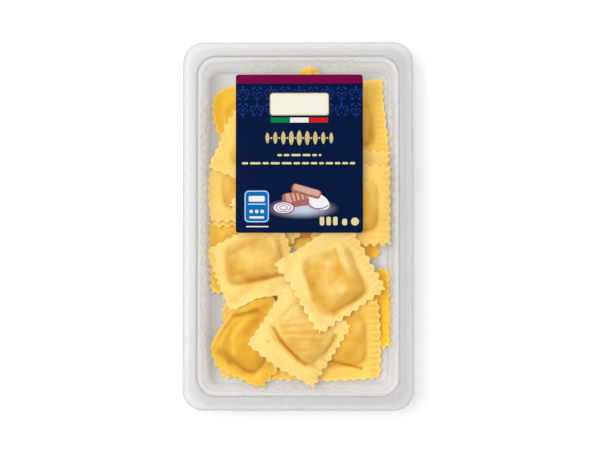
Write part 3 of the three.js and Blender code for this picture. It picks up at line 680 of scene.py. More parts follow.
def raviolo_relief(piece, p, q, x, y, seed):
    """Thickness over the underside, the share of filling under each point and the strength of
    the painted shade in its creases: a border, a groove at the foot of the hump, a full hump,
    and what is uneven in both. The groove is deepest on the side that faces -y, away from the
    light, and there the flank over it is deeper in colour, painted shade; there too the
    filling's colour reaches further out, and on the lit side it stops short, painted light.
    What is uneven takes painted shade where it lies under its surroundings, and pales the
    filling, a painted highlight, where it stands over them. The shade levels off towards 1:
    it is 1 less e to the power of minus one and a half times its strength."""
    distance = bulge_distance(piece, p, q)
    rise = 1 - distance**HUMP_FULLNESS
    rise = (rise + np.hypot(rise, 0.08)) / 2
    body = smoothstep(1.05, 0.8, distance)
    out = past_core(p, q)
    middle_x, middle_y = in_plan(piece, *hump_of(piece)[:2])
    angle = np.arctan2(y - middle_y, x - middle_x) + 0.5 * wave_field(x, y, seed + 500, 15, 30)
    # Shaded side: 1 on the side of the filling that faces -y, away from the light, 0 on the lit
    # side.
    shaded_side = smoothstep(0.15, 0.95, 0.5 - 0.5 * np.sin(angle + 0.1))
    groove = bell(distance - 1.0, 0.06) * (0.1 + 0.9 * shaded_side)
    flank = bell(distance - 0.9, 0.13) * (0.15 + 0.85 * shaded_side)
    uneven = SWELL_HIGH * body * wave_field(x, y, seed + 100, 9, 20)
    uneven += piece.get("ridges", 0.05) * cutter_ridges(p, q)
    if "wrinkles" in piece:
        count, heading, depth = piece["wrinkles"]
        angle = math.radians(heading)
        run = (x - middle_x) * math.cos(angle) + (y - middle_y) * math.sin(angle)
        bend = 0.8 * wave_field(x, y, seed + 300, 15, 40)
        crest = np.cos(2 * PI * count * run / (2 * HUMP_HALF) + bend)
        uneven += depth * crest * smoothstep(0.85, 0.4, distance)
    for at_p, at_q, reach, depth in piece.get("dimples", ()):
        uneven -= depth * near_spot(p, q, at_p, at_q, reach)
    for *ends, wide, depth in piece.get("folds", ()):
        uneven -= depth * bell(from_segment(p, q, ends), wide)
    thick = BORDER_THICK - BORDER_PINCH * out + HUMP_HIGH * rise - GROOVE_DEPTH * groove + uneven
    thick += ROUGH_HIGH * wave_field(x, y, seed + 200, 2.5, 8)
    hollow = hollows(uneven, 3) / 0.4 + hollows(uneven, 8) / 0.8
    # The filling's colour reaches further out on the shaded side and stops short on the lit side:
    # painted shade and light.
    start = 0.9 + 0.22 * shaded_side
    # Crests of the uneven surface pale the filling: painted highlight.
    pale = 0.5 * np.clip(-hollow, 0, 1)
    # Painted shade: in the groove and on the flank, most on the shaded side, and in the hollows of
    # the uneven surface.
    crease = piece.get("groove_shade", 0.5) * (0.8 * groove + 0.7 * flank) + 0.5 * np.clip(hollow, 0, 1.2)
    # Painted shade along the given lines; a negative strength paints a highlight instead.
    for *ends, wide, share in piece.get("painted_shading", ()):
        painted_mark = share * bell(from_segment(p, q, ends), wide)
        crease, pale = crease + painted_mark, pale + np.maximum(-painted_mark, 0)
    filling = smoothstep(start, start - 0.4, distance) * (1 - np.clip(pale, 0, 1))
    return np.maximum(thick, THINNEST), filling, 1 - np.exp(-1.5 * np.maximum(crease, 0))


def raviolo_solid(piece, node, seed):
    """A closed piece of dough: a top grid, a half round cut edge and an underside grid. Its
    outline stops at the tray's walls, and the teeth are cut from there. Also gives three
    values of its points: filling; crease, the strength of the painted crease shade; and rim,
    which is 1 at the cut edge, where the colour is paled, a painted highlight."""
    even, (p, q) = toothed_square(piece, seed)
    x, y = (
        held + toothed - free
        for held, toothed, free in zip(
            in_plan(piece, *even), spread_out(piece, p, q), spread_out(piece, *even)
        )
    )
    underside = spline_through(solid_samples(piece, node), p, q)
    out = past_core(p, q)
    underside += UNDERSIDE_WAVE * out * np.maximum(wave_field(x, y, seed + 400, 7, 24), -0.3)
    for at_p, at_q, reach, high in piece.get("lifts", ()):
        underside += high * near_spot(p, q, at_p, at_q, reach)
    thick, filling, crease = raviolo_relief(piece, p, q, x, y, seed)
    size = GRID + 1
    count = size**2
    index = np.arange(count).reshape(size, size)
    loop = np.concatenate([
        index[-1, :-1], index[::-1, -1][:-1], index[0, ::-1][:-1], index[:-1, 0]
    ])
    top = np.stack([x, y, underside + thick], 2).reshape(-1, 3)
    bottom = np.stack([x, y, underside + UNDERSIDE_SPARE], 2).reshape(-1, 3)
    edge_top, edge_bottom = top[loop], bottom[loop]
    along = np.roll(edge_top, -1, 0) - np.roll(edge_top, 1, 0)
    outward = np.stack([along[:, 1], -along[:, 0], np.zeros(len(loop))], 1)
    outward /= np.maximum(np.linalg.norm(outward, axis=1, keepdims=True), 1e-9)
    rounds = []
    for turn in EDGE_TURNS:
        angle = math.radians(turn)
        share = (1 - math.cos(angle)) / 2
        level = edge_top * (1 - share) + edge_bottom * share
        rounds.append(level + outward * EDGE_ROUND * math.sin(angle))
    rim = [loop]
    rim += [2 * count + k * len(loop) + np.arange(len(loop)) for k in range(len(rounds))]
    rim.append(loop + count)
    faces = [grid_quads(size, size), grid_quads(size, size, count)[:, ::-1]]
    faces += [band(upper, lower) for upper, lower in zip(rim, rim[1:])]
    points = np.concatenate([top, bottom, *rounds])
    # Rim: paler colour towards the outline and on the cut edge, a painted highlight.
    line = np.abs(np.linspace(-1, 1, size))
    edge = smoothstep(0.91, 1, np.maximum(line[:, None], line))
    plain = np.zeros(len(points) - count)
    looks = {
        "filling": np.concatenate([filling.ravel(), plain]),
        "crease": np.concatenate([crease.ravel(), plain]),
        "rim": np.concatenate([edge.ravel(), edge.ravel(), np.ones(len(rounds) * len(loop))]),
    }
    return (points, faces), looks


# ---- Materials

# Pasta: what full gold takes from red, green and blue, how far the patches swing the mix of
# border and filling, the share of the paler colour in the mottle's second one, the share of
# the cut edge's paler colour at the edge, a painted highlight, the powers that spread a
# crease's painted shade and narrow its core, and the core's factors on the crease's red,
# green and blue.
GOLD_TAKES = (0.0, 0.19, 0.9)
PATCH_SWING = 1.6
PALER_SHARE = 0.4
CUT_EDGE_SHARE = 0.55
CREASE_POWER = 0.75
CREASE_CORE_POWER = 4.0
CREASE_CORE = (0.7, 0.6, 0.1)

# Scales of the clouds and the grain in 1/m, and strength of the grain
INK_MOTTLE = dict(cloud=900.0, grain=5000.0, strength=0.03, rough=0.3)
CLEAR_MOTTLE = dict(cloud=60.0, grain=1200.0, strength=0.02)


def place(tree, kind, inputs=None, **settings):
    """Adds a node. An input takes a value or the output of another node."""
    made = tree.nodes.new(kind)
    for name, value in settings.items():
        setattr(made, name, value)
    for name, value in (inputs or {}).items():
        if isinstance(value, bpy.types.NodeSocket):
            tree.links.new(value, made.inputs[name])
        else:
            made.inputs[name].default_value = value
    return made


def mixed(tree, share, first, second):
    """The output of a colour mix. Its sockets are picked by number, because those for
    colours share their names with those for plain values."""
    sockets = {0: share, 6: first, 7: second}
    return place(tree, "ShaderNodeMix", sockets, data_type="RGBA").outputs[2]


def math_node(tree, operation, first, second):
    """The output of an operation on two values."""
    return place(tree, "ShaderNodeMath", {0: first, 1: second}, operation=operation).outputs[0]


def attribute(tree, name):
    """The output of the values that a piece stores under that name."""
    return place(tree, "ShaderNodeAttribute", attribute_name=name).outputs["Fac"]


def noise(tree, scale, detail, rough=0.5):
    """The output of soft noise, laid out by the place of a point in its piece."""
    spot = place(tree, "ShaderNodeTexCoord").outputs["Object"]
    inputs = {"Vector": spot, "Scale": scale, "Detail": detail, "Roughness": rough}
    return place(tree, "ShaderNodeTexNoise", inputs).outputs[0]


def opaque(colour):
    """A colour with nothing see-through."""
    return (*colour[:3], 1.0)


def paled(colour):
    """A colour a tenth brighter, with no part of it over 0.95."""
    return opaque([min(0.95, 1.1 * c) for c in colour])


def times(colour, factors):
    """A colour with a factor on each of red, green and blue."""
    return [c * f for c, f in zip(colour, factors)]


def new_material(name, **plain):
    """A material with a Principled shader whose plain values are set on its sockets."""
    material = bpy.data.materials.new(name)
    material.use_nodes = True
    tree = material.node_tree
    shader = tree.nodes["Principled BSDF"]
    for socket, value in plain.items():
        shader.inputs[socket.replace("_", " ")].default_value = value
    return material, tree, shader


def mottle_group():
    """Node group: two colours mixed by soft clouds, a fine grain as a normal, 0.3 mm high at
    full strength, and a roughness that rises with the grain by up to 0.12."""
    name = "Mottle and grain"
    if name in bpy.data.node_groups:
        return bpy.data.node_groups[name]
    group = bpy.data.node_groups.new(name, "ShaderNodeTree")
    face = group.interface
    for label, kind, value in (
        ("Colour", "NodeSocketColor", (0.8, 0.8, 0.8, 1)),
        ("Second colour", "NodeSocketColor", (0.6, 0.6, 0.6, 1)),
        ("Cloud scale", "NodeSocketFloat", 100.0),
        ("Grain scale", "NodeSocketFloat", 2000.0),
        ("Grain strength", "NodeSocketFloat", 0.1),
        ("Roughness", "NodeSocketFloat", 0.4),
    ):
        face.new_socket(label, in_out="INPUT", socket_type=kind).default_value = value
    face.new_socket("Colour", in_out="OUTPUT", socket_type="NodeSocketColor")
    face.new_socket("Roughness", in_out="OUTPUT", socket_type="NodeSocketFloat")
    face.new_socket("Normal", in_out="OUTPUT", socket_type="NodeSocketVector")
    given = group.nodes.new("NodeGroupInput").outputs
    result = group.nodes.new("NodeGroupOutput").inputs
    cloud = noise(group, given["Cloud scale"], 3.0)
    grain = noise(group, given["Grain scale"], 2.0)
    swing = math_node(group, "MULTIPLY", grain, 0.12)
    bump = place(group, "ShaderNodeBump", {
        "Height": grain, "Strength": given["Grain strength"], "Distance": 0.0003})
    for output, label in (
        (mixed(group, cloud, given["Colour"], given["Second colour"]), "Colour"),
        (math_node(group, "ADD", given["Roughness"], swing), "Roughness"),
        (bump.outputs[0], "Normal"),
    ):
        group.links.new(output, result[label])
    return group


def mottled(tree, shader, colour, second, cloud, grain, strength, rough):
    """Feeds a shader from the mottle group."""
    group = place(tree, "ShaderNodeGroup", {
        "Colour": colour, "Second colour": second, "Cloud scale": cloud,
        "Grain scale": grain, "Grain strength": strength, "Roughness": rough,
    }, node_tree=mottle_group())
    for output, socket in (
        ("Colour", "Base Color"), ("Roughness", "Roughness"), ("Normal", "Normal"),
    ):
        tree.links.new(group.outputs[output], shader.inputs[socket])


def pasta_material(name, gold, painted_light, look):
    """Fresh egg pasta: pale border, deeper colour over the filling, golden creases that are
    deepest at their core, painted shade, and a pale cut edge, a painted highlight. gold, from 0
    to 1, takes the blue out of the whole piece, and a little of the green: partly the dough's
    own colour, partly painted warm shade. bright is a factor on the colour, painted light."""
    material, tree, shader = new_material(
        name, Subsurface_Weight=0.2, Subsurface_Scale=0.002, Specular_IOR_Level=0.12, IOR=1.4
    )
    shader.inputs["Subsurface Radius"].default_value = (1.0, 0.55, 0.15)
    crease = attribute(tree, "crease")
    # Factors on the colour: painted light, and gold, partly painted warm shade.
    deepen = [painted_light * (1 - taken * gold) for taken in GOLD_TAKES]
    border, inner = times(look.border, deepen), times(look.filling, deepen)
    patches = math_node(tree, "SUBTRACT", noise(tree, 90.0, 6.0, 0.6), 0.5)
    swing = math_node(tree, "MULTIPLY", patches, PATCH_SWING)
    share = math_node(tree, "ADD", attribute(tree, "filling"), swing)
    base = mixed(tree, share, opaque(border), opaque(inner))
    paler = mixed(tree, PALER_SHARE, base, paled(border))
    # Paler colour along the cut edge: painted highlight.
    edge = math_node(tree, "MULTIPLY", attribute(tree, "rim"), CUT_EDGE_SHARE)
    cut = paled([painted_light * c for c in look.border])
    # Crease colour mixed in by the mesh's crease strength: painted shade, deepest at its core.
    faded = math_node(tree, "POWER", crease, CREASE_POWER)
    deepest = math_node(tree, "POWER", crease, CREASE_CORE_POWER)
    core = opaque(times(look.crease, CREASE_CORE))
    fold = mixed(tree, deepest, opaque(look.crease), core)
    base, paler = (
        mixed(tree, edge, mixed(tree, faded, colour, fold), cut) for colour in (base, paler)
    )
    mottled(tree, shader, base, paler, cloud=320.0, grain=1100.0, strength=0.35, rough=0.42)
    return material


def ink_material(name, colour, second=None):
    """Printed ink on coated paper: nearly even colour under a smooth varnish. The second
    colour is a tenth darker where none is given."""
    material, tree, shader = new_material(name, Specular_IOR_Level=0.01)
    second = second or [c * 0.9 + 0.001 for c in colour[:3]]
    mottled(tree, shader, opaque(colour), opaque(second), **INK_MOTTLE)
    return material


def glow_material(look):
    """Printed ink that fades from pale blue in the middle to the label's blue."""
    material, tree, shader = new_material("ink glow", Specular_IOR_Level=0.01)
    fade = place(tree, "ShaderNodeMapRange", {
        "Value": attribute(tree, "share"), "From Min": 0.15, "From Max": 1.0,
    }, interpolation_type="SMOOTHSTEP").outputs[0]
    base = mixed(tree, fade, (0.42, 0.47, 0.58, 1), opaque(look.paper))
    mottled(tree, shader, base, base, **INK_MOTTLE)
    return material


def film_material(look):
    """Clear stretched film, hardly to be seen."""
    material, tree, shader = new_material("clear film", Alpha=look.film_alpha, IOR=1.5)
    mottled(
        tree, shader, (0.95, 0.95, 0.96, 1), (0.9, 0.9, 0.91, 1), rough=0.08, **CLEAR_MOTTLE
    )
    return material


def tray_material(look):
    """Clear formed plastic, greyer where the painted shade of its mesh says so, and hazier where
    its haze says so.
    """
    material, tree, shader = new_material("clear tray", IOR=1.5, Specular_IOR_Level=0.25)
    # Painted shade: the flat colour is mixed towards the dark edge colour by the painted grey of
    # the mesh.
    base = mixed(
        tree, attribute(tree, "painted_shade"), opaque(look.plastic), opaque(look.plastic_shade)
    )
    second = mixed(tree, 0.06, base, (0.5, 0.5, 0.52, 1))
    mottled(tree, shader, base, second, rough=0.2, **CLEAR_MOTTLE)
    haze = math_node(tree, "MULTIPLY", attribute(tree, "haze"), look.tray_haze)
    tree.links.new(haze, shader.inputs["Alpha"])
    return material


def finish_piece(piece, material, replaced=()):
    """Gives a piece its material and body, and hides the nodes it stands for."""
    piece.data.materials.append(material)
    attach(piece, BODY)
    if replaced:
        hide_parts(*replaced)
    return piece


# ---- Label print, in millimetres from the middle of the label


def plate(x, y, high):
    """A thin plate with the outline x, y round its middle."""
    outline = np.stack([x + LABEL_X, y + LABEL_Y], 1)
    middle = outline.mean(0)
    rings = np.stack([
        np.column_stack([outline, np.full(len(x), level)]) for level in (PRINT_BOTTOM, high)
    ])
    return ring_solid(rings, (*middle, PRINT_BOTTOM), (*middle, high))


def turned_plate(centre, x, y, turn, high):
    """A plate with the outline x, y turned by degrees and moved to its centre."""
    angle = math.radians(turn)
    return plate(
        centre[0] + x * math.cos(angle) - y * math.sin(angle),
        centre[1] + x * math.sin(angle) + y * math.cos(angle),
        high,
    )


def block(centre, wide, long, radius, high, turn=0.0):
    """A plate in the form of a rounded rectangle."""
    x, y = rounded_outline(wide / 2, long / 2, radius, even_marks(1, 8))
    return turned_plate(centre, x, y, turn, high)


def oval(centre, wide, long, high, turn=0.0, point=1.0):
    """A plate in the form of an ellipse, with its ends drawn to points as point rises."""
    t = np.linspace(0, 2 * PI, 48, endpoint=False)
    x = wide / 2 * np.cos(t)
    y = long / 2 * np.sin(t) * np.abs(np.sin(t)) ** (point - 1)
    return turned_plate(centre, x, y, turn, high)


def ribbon(x, y, wide, high, closed=False):
    """A thin line of that width along a path, each point moved half the width to each side,
    square to the path."""
    path = np.stack([x + LABEL_X, y + LABEL_Y], 1)
    if closed:
        ahead = np.roll(path, -1, 0) - np.roll(path, 1, 0)
    else:
        ahead = np.gradient(path, axis=0)
    ahead /= np.linalg.norm(ahead, axis=1, keepdims=True)
    side = np.stack([-ahead[:, 1], ahead[:, 0]], 1) * np.broadcast_to(wide, len(x))[:, None] / 2
    low, left, right = PRINT_BOTTOM, path - side, path + side
    corners = ((left, low), (left, high), (right, high), (right, low))
    points = np.stack([np.column_stack([c, np.full(len(x), z)]) for c, z in corners], 1)
    index = np.arange(4 * len(x)).reshape(-1, 4)
    start, end = (index, np.roll(index, -1, 0)) if closed else (index[:-1], index[1:])
    quads = [start, end, np.roll(end, -1, 1), np.roll(start, -1, 1)]
    faces = [np.stack([c.ravel() for c in quads], 1)]
    if not closed:
        faces += [index[:1], index[-1:, ::-1]]
    return points.reshape(-1, 3), faces


def frame_line(centre, wide, long, radius, width, high):
    """A closed line round a rounded rectangle."""
    x, y = rounded_outline(wide / 2, long / 2, radius, even_marks(1, 8))
    return ribbon(centre[0] + x, centre[1] + y, width, high, closed=True)


def scroll(centre, size, mirror, turns, high):
    """A spiral stroke: as it turns, its distance from the centre falls evenly by 85 per cent
    of its size, and its width from 0.75 to 0.3 mm."""
    t = np.linspace(0, 1, 34)
    angle = -PI / 2 + 2 * PI * turns * t
    radius = size * (1 - 0.85 * t)
    x = centre[0] + mirror * (radius * np.cos(angle) + size * 0.9)
    y = centre[1] + radius * np.sin(angle)
    return ribbon(x, y, 0.75 - 0.45 * t, high)


def ornament(high):
    """A band of scrolls and leaves: the same motif in two rows, every other one upside down."""
    pitch, columns = 8.5, 9
    parts = []
    for row, level in enumerate((26.5, 36.3)):
        for column in range(columns):
            x = pitch * (column - columns // 2)
            flip = 1 if (row + column) % 2 else -1
            for mirror in (-1, 1):
                parts.append(scroll((x, level + flip * 0.8), 2.2, mirror, flip * 1.2, high))
                leaf = (x + mirror * 2.1, level - flip * 3.1)
                parts.append(oval(leaf, 3.0, 1.2, high, mirror * flip * 35, 1.6))
            parts.append(oval((x, level + flip * 2.9), 1.3, 3.6, high))
            parts.append(oval((x, level - flip * 2.0), 1.1, 1.1, high))
    return parts


def title_motif(high):
    """A row of pointed lozenges with a dot between each two, larger to the middle."""
    pitch, level, outermost = 4.8, 9.4, 4
    parts = []
    for number in range(-outermost, outermost + 1):
        size = 1 - 0.07 * abs(number)
        parts.append(oval((number * pitch, level), 3.2 * size, 9.0 * size, high, 0, 1.4))
        if number < outermost:
            parts.append(oval((number * pitch + pitch / 2, level), 1.2, 1.2, high))
    return parts


def dashes(y, half, high, thick, seed):
    """A broken line: short bars of uneven length with even gaps between them."""
    shortest, longest, gap = 2.4, 6.5, 1.1
    chance = np.random.default_rng(seed)
    parts, x = [], -half
    while x < half - 1.0:
        length = min(chance.uniform(shortest, longest), half - x)
        parts.append(block((x + length / 2, y), length, thick, thick * 0.45, high))
        x += length + gap
    return parts


def glow_patch(centre, wide, long, high):
    """A plate in the form of an ellipse, and for each of its points the share of the way from
    its middle to its rim."""
    t = np.linspace(0, 2 * PI, 64, endpoint=False)
    shares = np.array([1, 1, 0.9, 0.78, 0.65, 0.5, 0.35, 0.2])
    levels = np.array([PRINT_BOTTOM] + [high] * (len(shares) - 1))
    middle = (centre[0] + LABEL_X, centre[1] + LABEL_Y)
    rings = np.stack([
        middle[0] + shares[:, None] * wide / 2 * np.cos(t),
        middle[1] + shares[:, None] * long / 2 * np.sin(t),
        np.broadcast_to(levels[:, None], (len(shares), len(t))),
    ], 2)
    around = np.concatenate([[1], np.repeat(shares, len(t)), [0]])
    return ring_solid(rings, (*middle, PRINT_BOTTOM), (*middle, high)), around


def ring_line(centre, wide, long, width, high, start=0.0, sweep=2 * PI):
    """A line round an ellipse or along a part of it."""
    whole = sweep == 2 * PI
    t = np.linspace(start, start + sweep, 48, endpoint=not whole)
    x = centre[0] + wide / 2 * np.cos(t)
    y = centre[1] + long / 2 * np.sin(t)
    return ribbon(x, y, width, high, whole)


def label_print():
    """Every ink of the label: name, colour, second colour and its plates. Plates that lie over
    each other end at heights of their own."""
    low, half, middle, face, upper, top, slice_top, crown = PRINT_LEVELS
    badge = (-25.6, -31.8)
    slice_spot, half_spot = (-9.5, -32.6), (11.5, -28.8)
    green, white, red = (
        block((x, 20.2), 11.2, 3.0, 0.3, middle) for x in (-11.6, 0, 11.6)
    )
    grain = [
        block((-3.4 + 2.6 * k, -26.2 + 0.5 * k), 1.5, 5.0, 0.7, face, 14) for k in range(4)
    ]
    return (
        ("wine", (0.15, 0.0, 0.042), None, [block((0, 45.0), 76.2, 5.3, 1.6, low)]),
        ("scrolls", (0.004, 0.018, 0.13), (0.008, 0.032, 0.2), ornament(low)),
        ("cream", (0.7, 0.67, 0.57), None, [block((0, 29.8), 35, 13, 1.6, middle)]),
        ("green", (0.0, 0.18, 0.05), None, [green]),
        ("white", (0.68, 0.68, 0.67), None, [
            white,
            oval(slice_spot, 13, 7.6, slice_top),
            oval(half_spot, 14.5, 8.6, half, -28, 1.15),
            frame_line(badge, 13.9, 18.3, 2.4, 0.4, top),
            block((badge[0], badge[1] + 4.6), 9.6, 3.4, 0.7, top),
            block((badge[0], badge[1] + 1.4), 10.6, 0.5, 0.2, top),
            *[oval((badge[0] + 3.3 * k, badge[1] - 3.0), 2.1, 2.1, top) for k in (-1, 0, 1)],
            block((badge[0], badge[1] - 6.6), 8.8, 1.3, 0.4, top),
            block((badge[0] + 0.4, -43.9), 13.5, 0.7, 0.3, low),
        ]),
        ("red", (0.44, 0.01, 0.01), None, [red]),
        ("gold", (0.33, 0.24, 0.07), (0.62, 0.52, 0.27), [
            frame_line((0, 29.8), 35, 13, 1.6, 0.55, top),
            *title_motif(low),
        ]),
        ("pale_gold", (0.5, 0.42, 0.2), (0.62, 0.56, 0.34), [
            *dashes(-0.9, 13.2, low, 1.3, 3),
            *dashes(-5.8, 34.5, low, 1.3, 8),
            *[block((13.6 + 4 * k, -40.6), 2.7, 5.2, 1.0, middle) for k in range(3)],
            block((27.2, -41.2), 3.0, 4.0, 1.2, middle),
            oval((33.4, -40.9), 4.8, 4.8, middle),
        ]),
        ("fillet_side", (0.22, 0.07, 0.05), (0.36, 0.14, 0.11), [
            block((-2.2, -27.6), 16, 9, 2.6, middle, 8),
            block((4.2, -22.7), 18, 5.4, 2.0, upper, -16),
        ]),
        ("fillet", (0.4, 0.19, 0.15), (0.6, 0.38, 0.31), [
            *grain,
            block((-6.5, -27.2), 3.0, 6.2, 1.2, face, 12),
            block((4.4, -22.1), 16.4, 3.6, 1.6, top, -16),
        ]),
        ("purple", (0.16, 0.02, 0.11), (0.26, 0.08, 0.2), [
            ring_line(slice_spot, 12.6, 7.2, 0.8, crown),
            ring_line(slice_spot, 8.8, 4.8, 0.45, crown),
            ring_line(slice_spot, 4.6, 2.4, 0.45, crown),
            ring_line(half_spot, 13.6, 8.8, 0.6, middle, -2.9, 2.4),
        ]),
        ("badge", (0.0, 0.1, 0.33), (0.0, 0.12, 0.38), [block(badge, 15.2, 19.8, 2.8, middle)]),
    )


# ---- Settings


class RavioliPackSettings(bpy.types.PropertyGroup):
    """Sizes and colours that a user would change."""

    border: FloatVectorProperty(
        name="Pasta border", description="Colour of the thin dough border", subtype="COLOR",
        size=3, min=0, max=1, default=(0.78, 0.58, 0.195),
    )
    filling: FloatVectorProperty(
        name="Pasta over filling", description="Colour of the dough over the filling",
        subtype="COLOR", size=3, min=0, max=1, default=(0.66, 0.36, 0.042),
    )
    # Colour of the painted shade in the creases.
    crease: FloatVectorProperty(
        name="Pasta crease", description="Colour of the crease round the filling",
        subtype="COLOR", size=3, min=0, max=1, default=(0.63, 0.31, 0.006),
    )
    plastic: FloatVectorProperty(
        name="Tray plastic", description="Colour of the clear tray where it lies flat",
        subtype="COLOR", size=3, min=0, max=1, default=(0.95, 0.945, 0.945),
    )
    # Colour of the tray's painted shade at its bends and outer edge.
    plastic_shade: FloatVectorProperty(
        name="Tray edges", description="Colour of the clear tray where it is greyest",
        subtype="COLOR", size=3, min=0, max=1, default=(0.1, 0.1, 0.1),
    )
    tray_haze: FloatProperty(
        name="Tray haze", description="Factor on how much the tray's faces hide",
        subtype="FACTOR", min=0, max=1.5, default=1.0,
    )
    film_alpha: FloatProperty(
        name="Film haze", description="How much each face of the film hides", subtype="FACTOR",
        min=0, max=1, default=0.005,
    )
    paper: FloatVectorProperty(
        name="Label blue", description="Ground colour of the label", subtype="COLOR",
        size=3, min=0, max=1, default=(0.0, 0.0048, 0.025),
    )
    camera_distance: FloatProperty(
        name="Camera distance", description="From the rim to the camera", unit="LENGTH",
        min=0.3, max=5, default=1.1,
    )
    seed: IntProperty(name="Seed", description="Start of every random draw", min=0, default=11)


# ---- Operators


class RAVIOLI_OT_tray(bpy.types.Operator):
    """Build the clear tray"""

    bl_idname = "ravioli_pack.tray"
    bl_label = "Tray"

    def execute(self, context):
        look = context.scene.ravioli_pack
        solid, painted_shade, haze = tray_shell()
        piece = mesh_object("clear_tray", *solid)
        # Painted shade of the tray's bends, edge and lip, and its haze.
        paint(piece, "painted_shade", painted_shade)
        paint(piece, "haze", haze)
        finish_piece(piece, tray_material(look), ["tray"])
        return {"FINISHED"}


class RAVIOLI_OT_ravioli(bpy.types.Operator):
    """Build the twenty ravioli on the places of their solids"""

    bl_idname = "ravioli_pack.ravioli"
    bl_label = "Ravioli"

    def execute(self, context):
        look = context.scene.ravioli_pack
        for number, piece in enumerate(PIECES, 1):
            node = f"raviolo_{number:02d}"
            solid, looks = raviolo_solid(piece, node, look.seed + number)
            made = mesh_object(f"pasta_{number:02d}", *solid)
            for name, values in looks.items():
                paint(made, name, values)
            material = pasta_material(
                f"egg pasta {number:02d}", piece["gold"], piece.get("painted_light", 1.05), look
            )
            finish_piece(made, material, [node])
        return {"FINISHED"}


class RAVIOLI_OT_film(bpy.types.Operator):
    """Build the clear film on the rim"""

    bl_idname = "ravioli_pack.film"
    bl_label = "Film"

    def execute(self, context):
        look = context.scene.ravioli_pack
        solid = sheet_solid(
            TRAY_WIDE / 2 - FILM_INSET, TRAY_LONG / 2 - FILM_INSET, OUTER_RADIUS - FILM_INSET,
            FILM_BOTTOM, FILM_TOP - FILM_SPARE, even_marks(40, 10), 36, film_lift,
        )
        piece = mesh_object("seal_film", *solid)
        finish_piece(piece, film_material(look), ["lid_film"])
        return {"FINISHED"}


class RAVIOLI_OT_label(bpy.types.Operator):
    """Build the label and the print on it"""

    bl_idname = "ravioli_pack.label"
    bl_label = "Label"

    def execute(self, context):
        look = context.scene.ravioli_pack
        points, faces = sheet_solid(
            LABEL_WIDE / 2, LABEL_LONG / 2, LABEL_RADIUS, LABEL_BOTTOM,
            LABEL_BOTTOM + LABEL_THICK, even_marks(4, 8), 2,
        )
        sheet = mesh_object("label_paper", points + (LABEL_X, LABEL_Y, 0), faces, smooth=False)
        paper = ink_material("label blue", look.paper, (0.0, 0.0072, 0.044))
        finish_piece(sheet, paper, ["label"])
        for name, colour, second, parts in label_print():
            piece = mesh_object(f"print_{name}", *joined(parts), smooth=False)
            finish_piece(piece, ink_material(f"ink {name}", colour, second))
        solid, share = glow_patch((1.5, -33), 47, 14, PRINT_LEVELS[0])
        glow = mesh_object("print_glow", *solid, smooth=False)
        paint(glow, "share", share)
        finish_piece(glow, glow_material(look))
        return {"FINISHED"}


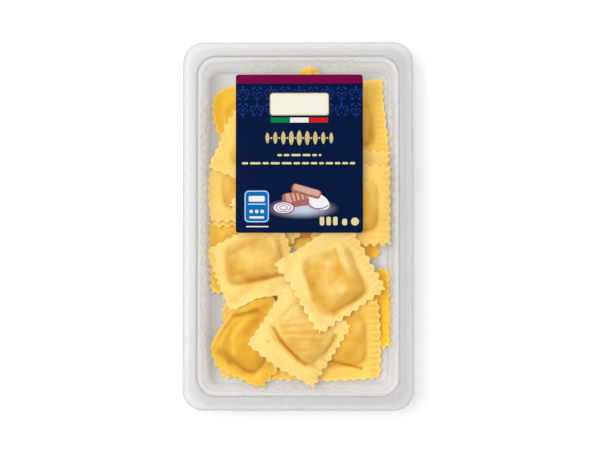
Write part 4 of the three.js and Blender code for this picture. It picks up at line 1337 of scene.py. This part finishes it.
class RAVIOLI_OT_stage(bpy.types.Operator):
    """Build the floor, the lights and the camera"""

    bl_idname = "ravioli_pack.stage"
    bl_label = "Stage"

    def execute(self, context):
        scene = context.scene
        look = scene.ravioli_pack
        line = np.linspace(-FLOOR_HALF, FLOOR_HALF, 5)
        x, y = np.meshgrid(line, line, indexing="ij")
        points = np.stack([x, y, np.full(x.shape, FLOOR_LEVEL)], 2).reshape(-1, 3)
        floor = mesh_object("floor", points, [grid_quads(*x.shape)])
        material, tree, shader = new_material("white table", Specular_IOR_Level=0.1)
        mottled(tree, shader, (0.82, 0.82, 0.82, 1), (0.81, 0.81, 0.81, 1), 8.0, 400.0, 0.02, 0.6)
        floor.data.materials.append(material)

        world = bpy.data.worlds.new("soft white")
        world.use_nodes = True
        sky = world.node_tree.nodes["Background"].inputs
        sky["Color"].default_value = (1, 1, 1, 1)
        sky["Strength"].default_value = 0.6
        scene.world = world
        for name, size, energy, spot, shadow in (
            ("overhead soft box", 0.8, 23, (-0.36, 0.1, 2.0), True),
            ("far fill light", 1.5, 13, (-0.64, 1.84, 1.76), False),
            ("near fill light", 1.5, 8, (0.5, -1.7, 1.8), False),
        ):
            lamp = bpy.data.lights.new(name, "AREA")
            lamp.shape = "DISK"
            lamp.size = size
            lamp.energy = energy
            lamp.use_shadow = shadow
            holder = bpy.data.objects.new(name, lamp)
            holder.location = spot
            holder.rotation_euler = (-Vector(spot)).to_track_quat("-Z", "Y").to_euler()
            scene.collection.objects.link(holder)

        camera = bpy.data.cameras.new("camera")
        camera.sensor_width = SENSOR_WIDE
        camera.lens = SENSOR_WIDE * look.camera_distance / VIEW_WIDE
        camera.clip_end = 20
        holder = bpy.data.objects.new("camera", camera)
        target = Vector((1.2, 0.45, RIM_HEIGHT)) * MM
        eye = Vector((19, -40, RIM_HEIGHT)) * MM + Vector((0, 0, look.camera_distance))
        forward = (target - eye).normalized()
        right = forward.cross(Vector((0, 1, 0))).normalized()
        up = right.cross(forward)
        turn = Matrix((right, up, -forward)).transposed().to_4x4()
        holder.matrix_world = Matrix.Translation(eye) @ turn
        scene.collection.objects.link(holder)
        scene.camera = holder
        scene.view_settings.view_transform = "Standard"
        return {"FINISHED"}


class RAVIOLI_PT_panel(bpy.types.Panel):
    """Lists the pieces of the pack and the settings"""

    bl_idname = "RAVIOLI_PT_panel"
    bl_label = "Ravioli pack"
    bl_space_type = "VIEW_3D"
    bl_region_type = "UI"
    bl_category = "Ravioli pack"

    def draw(self, context):
        for operator in OPERATORS:
            self.layout.operator(operator.bl_idname)
        for name in RavioliPackSettings.__annotations__:
            self.layout.prop(context.scene.ravioli_pack, name)


OPERATORS = (
    RAVIOLI_OT_tray,
    RAVIOLI_OT_ravioli,
    RAVIOLI_OT_film,
    RAVIOLI_OT_label,
    RAVIOLI_OT_stage,
)
CLASSES = (RavioliPackSettings, *OPERATORS, RAVIOLI_PT_panel)


def register():
    for item in CLASSES:
        bpy.utils.register_class(item)
    bpy.types.Scene.ravioli_pack = PointerProperty(type=RavioliPackSettings)


def unregister():
    del bpy.types.Scene.ravioli_pack
    for item in reversed(CLASSES):
        bpy.utils.unregister_class(item)


def main():
    register()
    bpy.ops.ravioli_pack.tray()
    bpy.ops.ravioli_pack.ravioli()
    bpy.ops.ravioli_pack.film()
    bpy.ops.ravioli_pack.label()
    bpy.ops.ravioli_pack.stage()


if __name__ == "__main__":
    main()
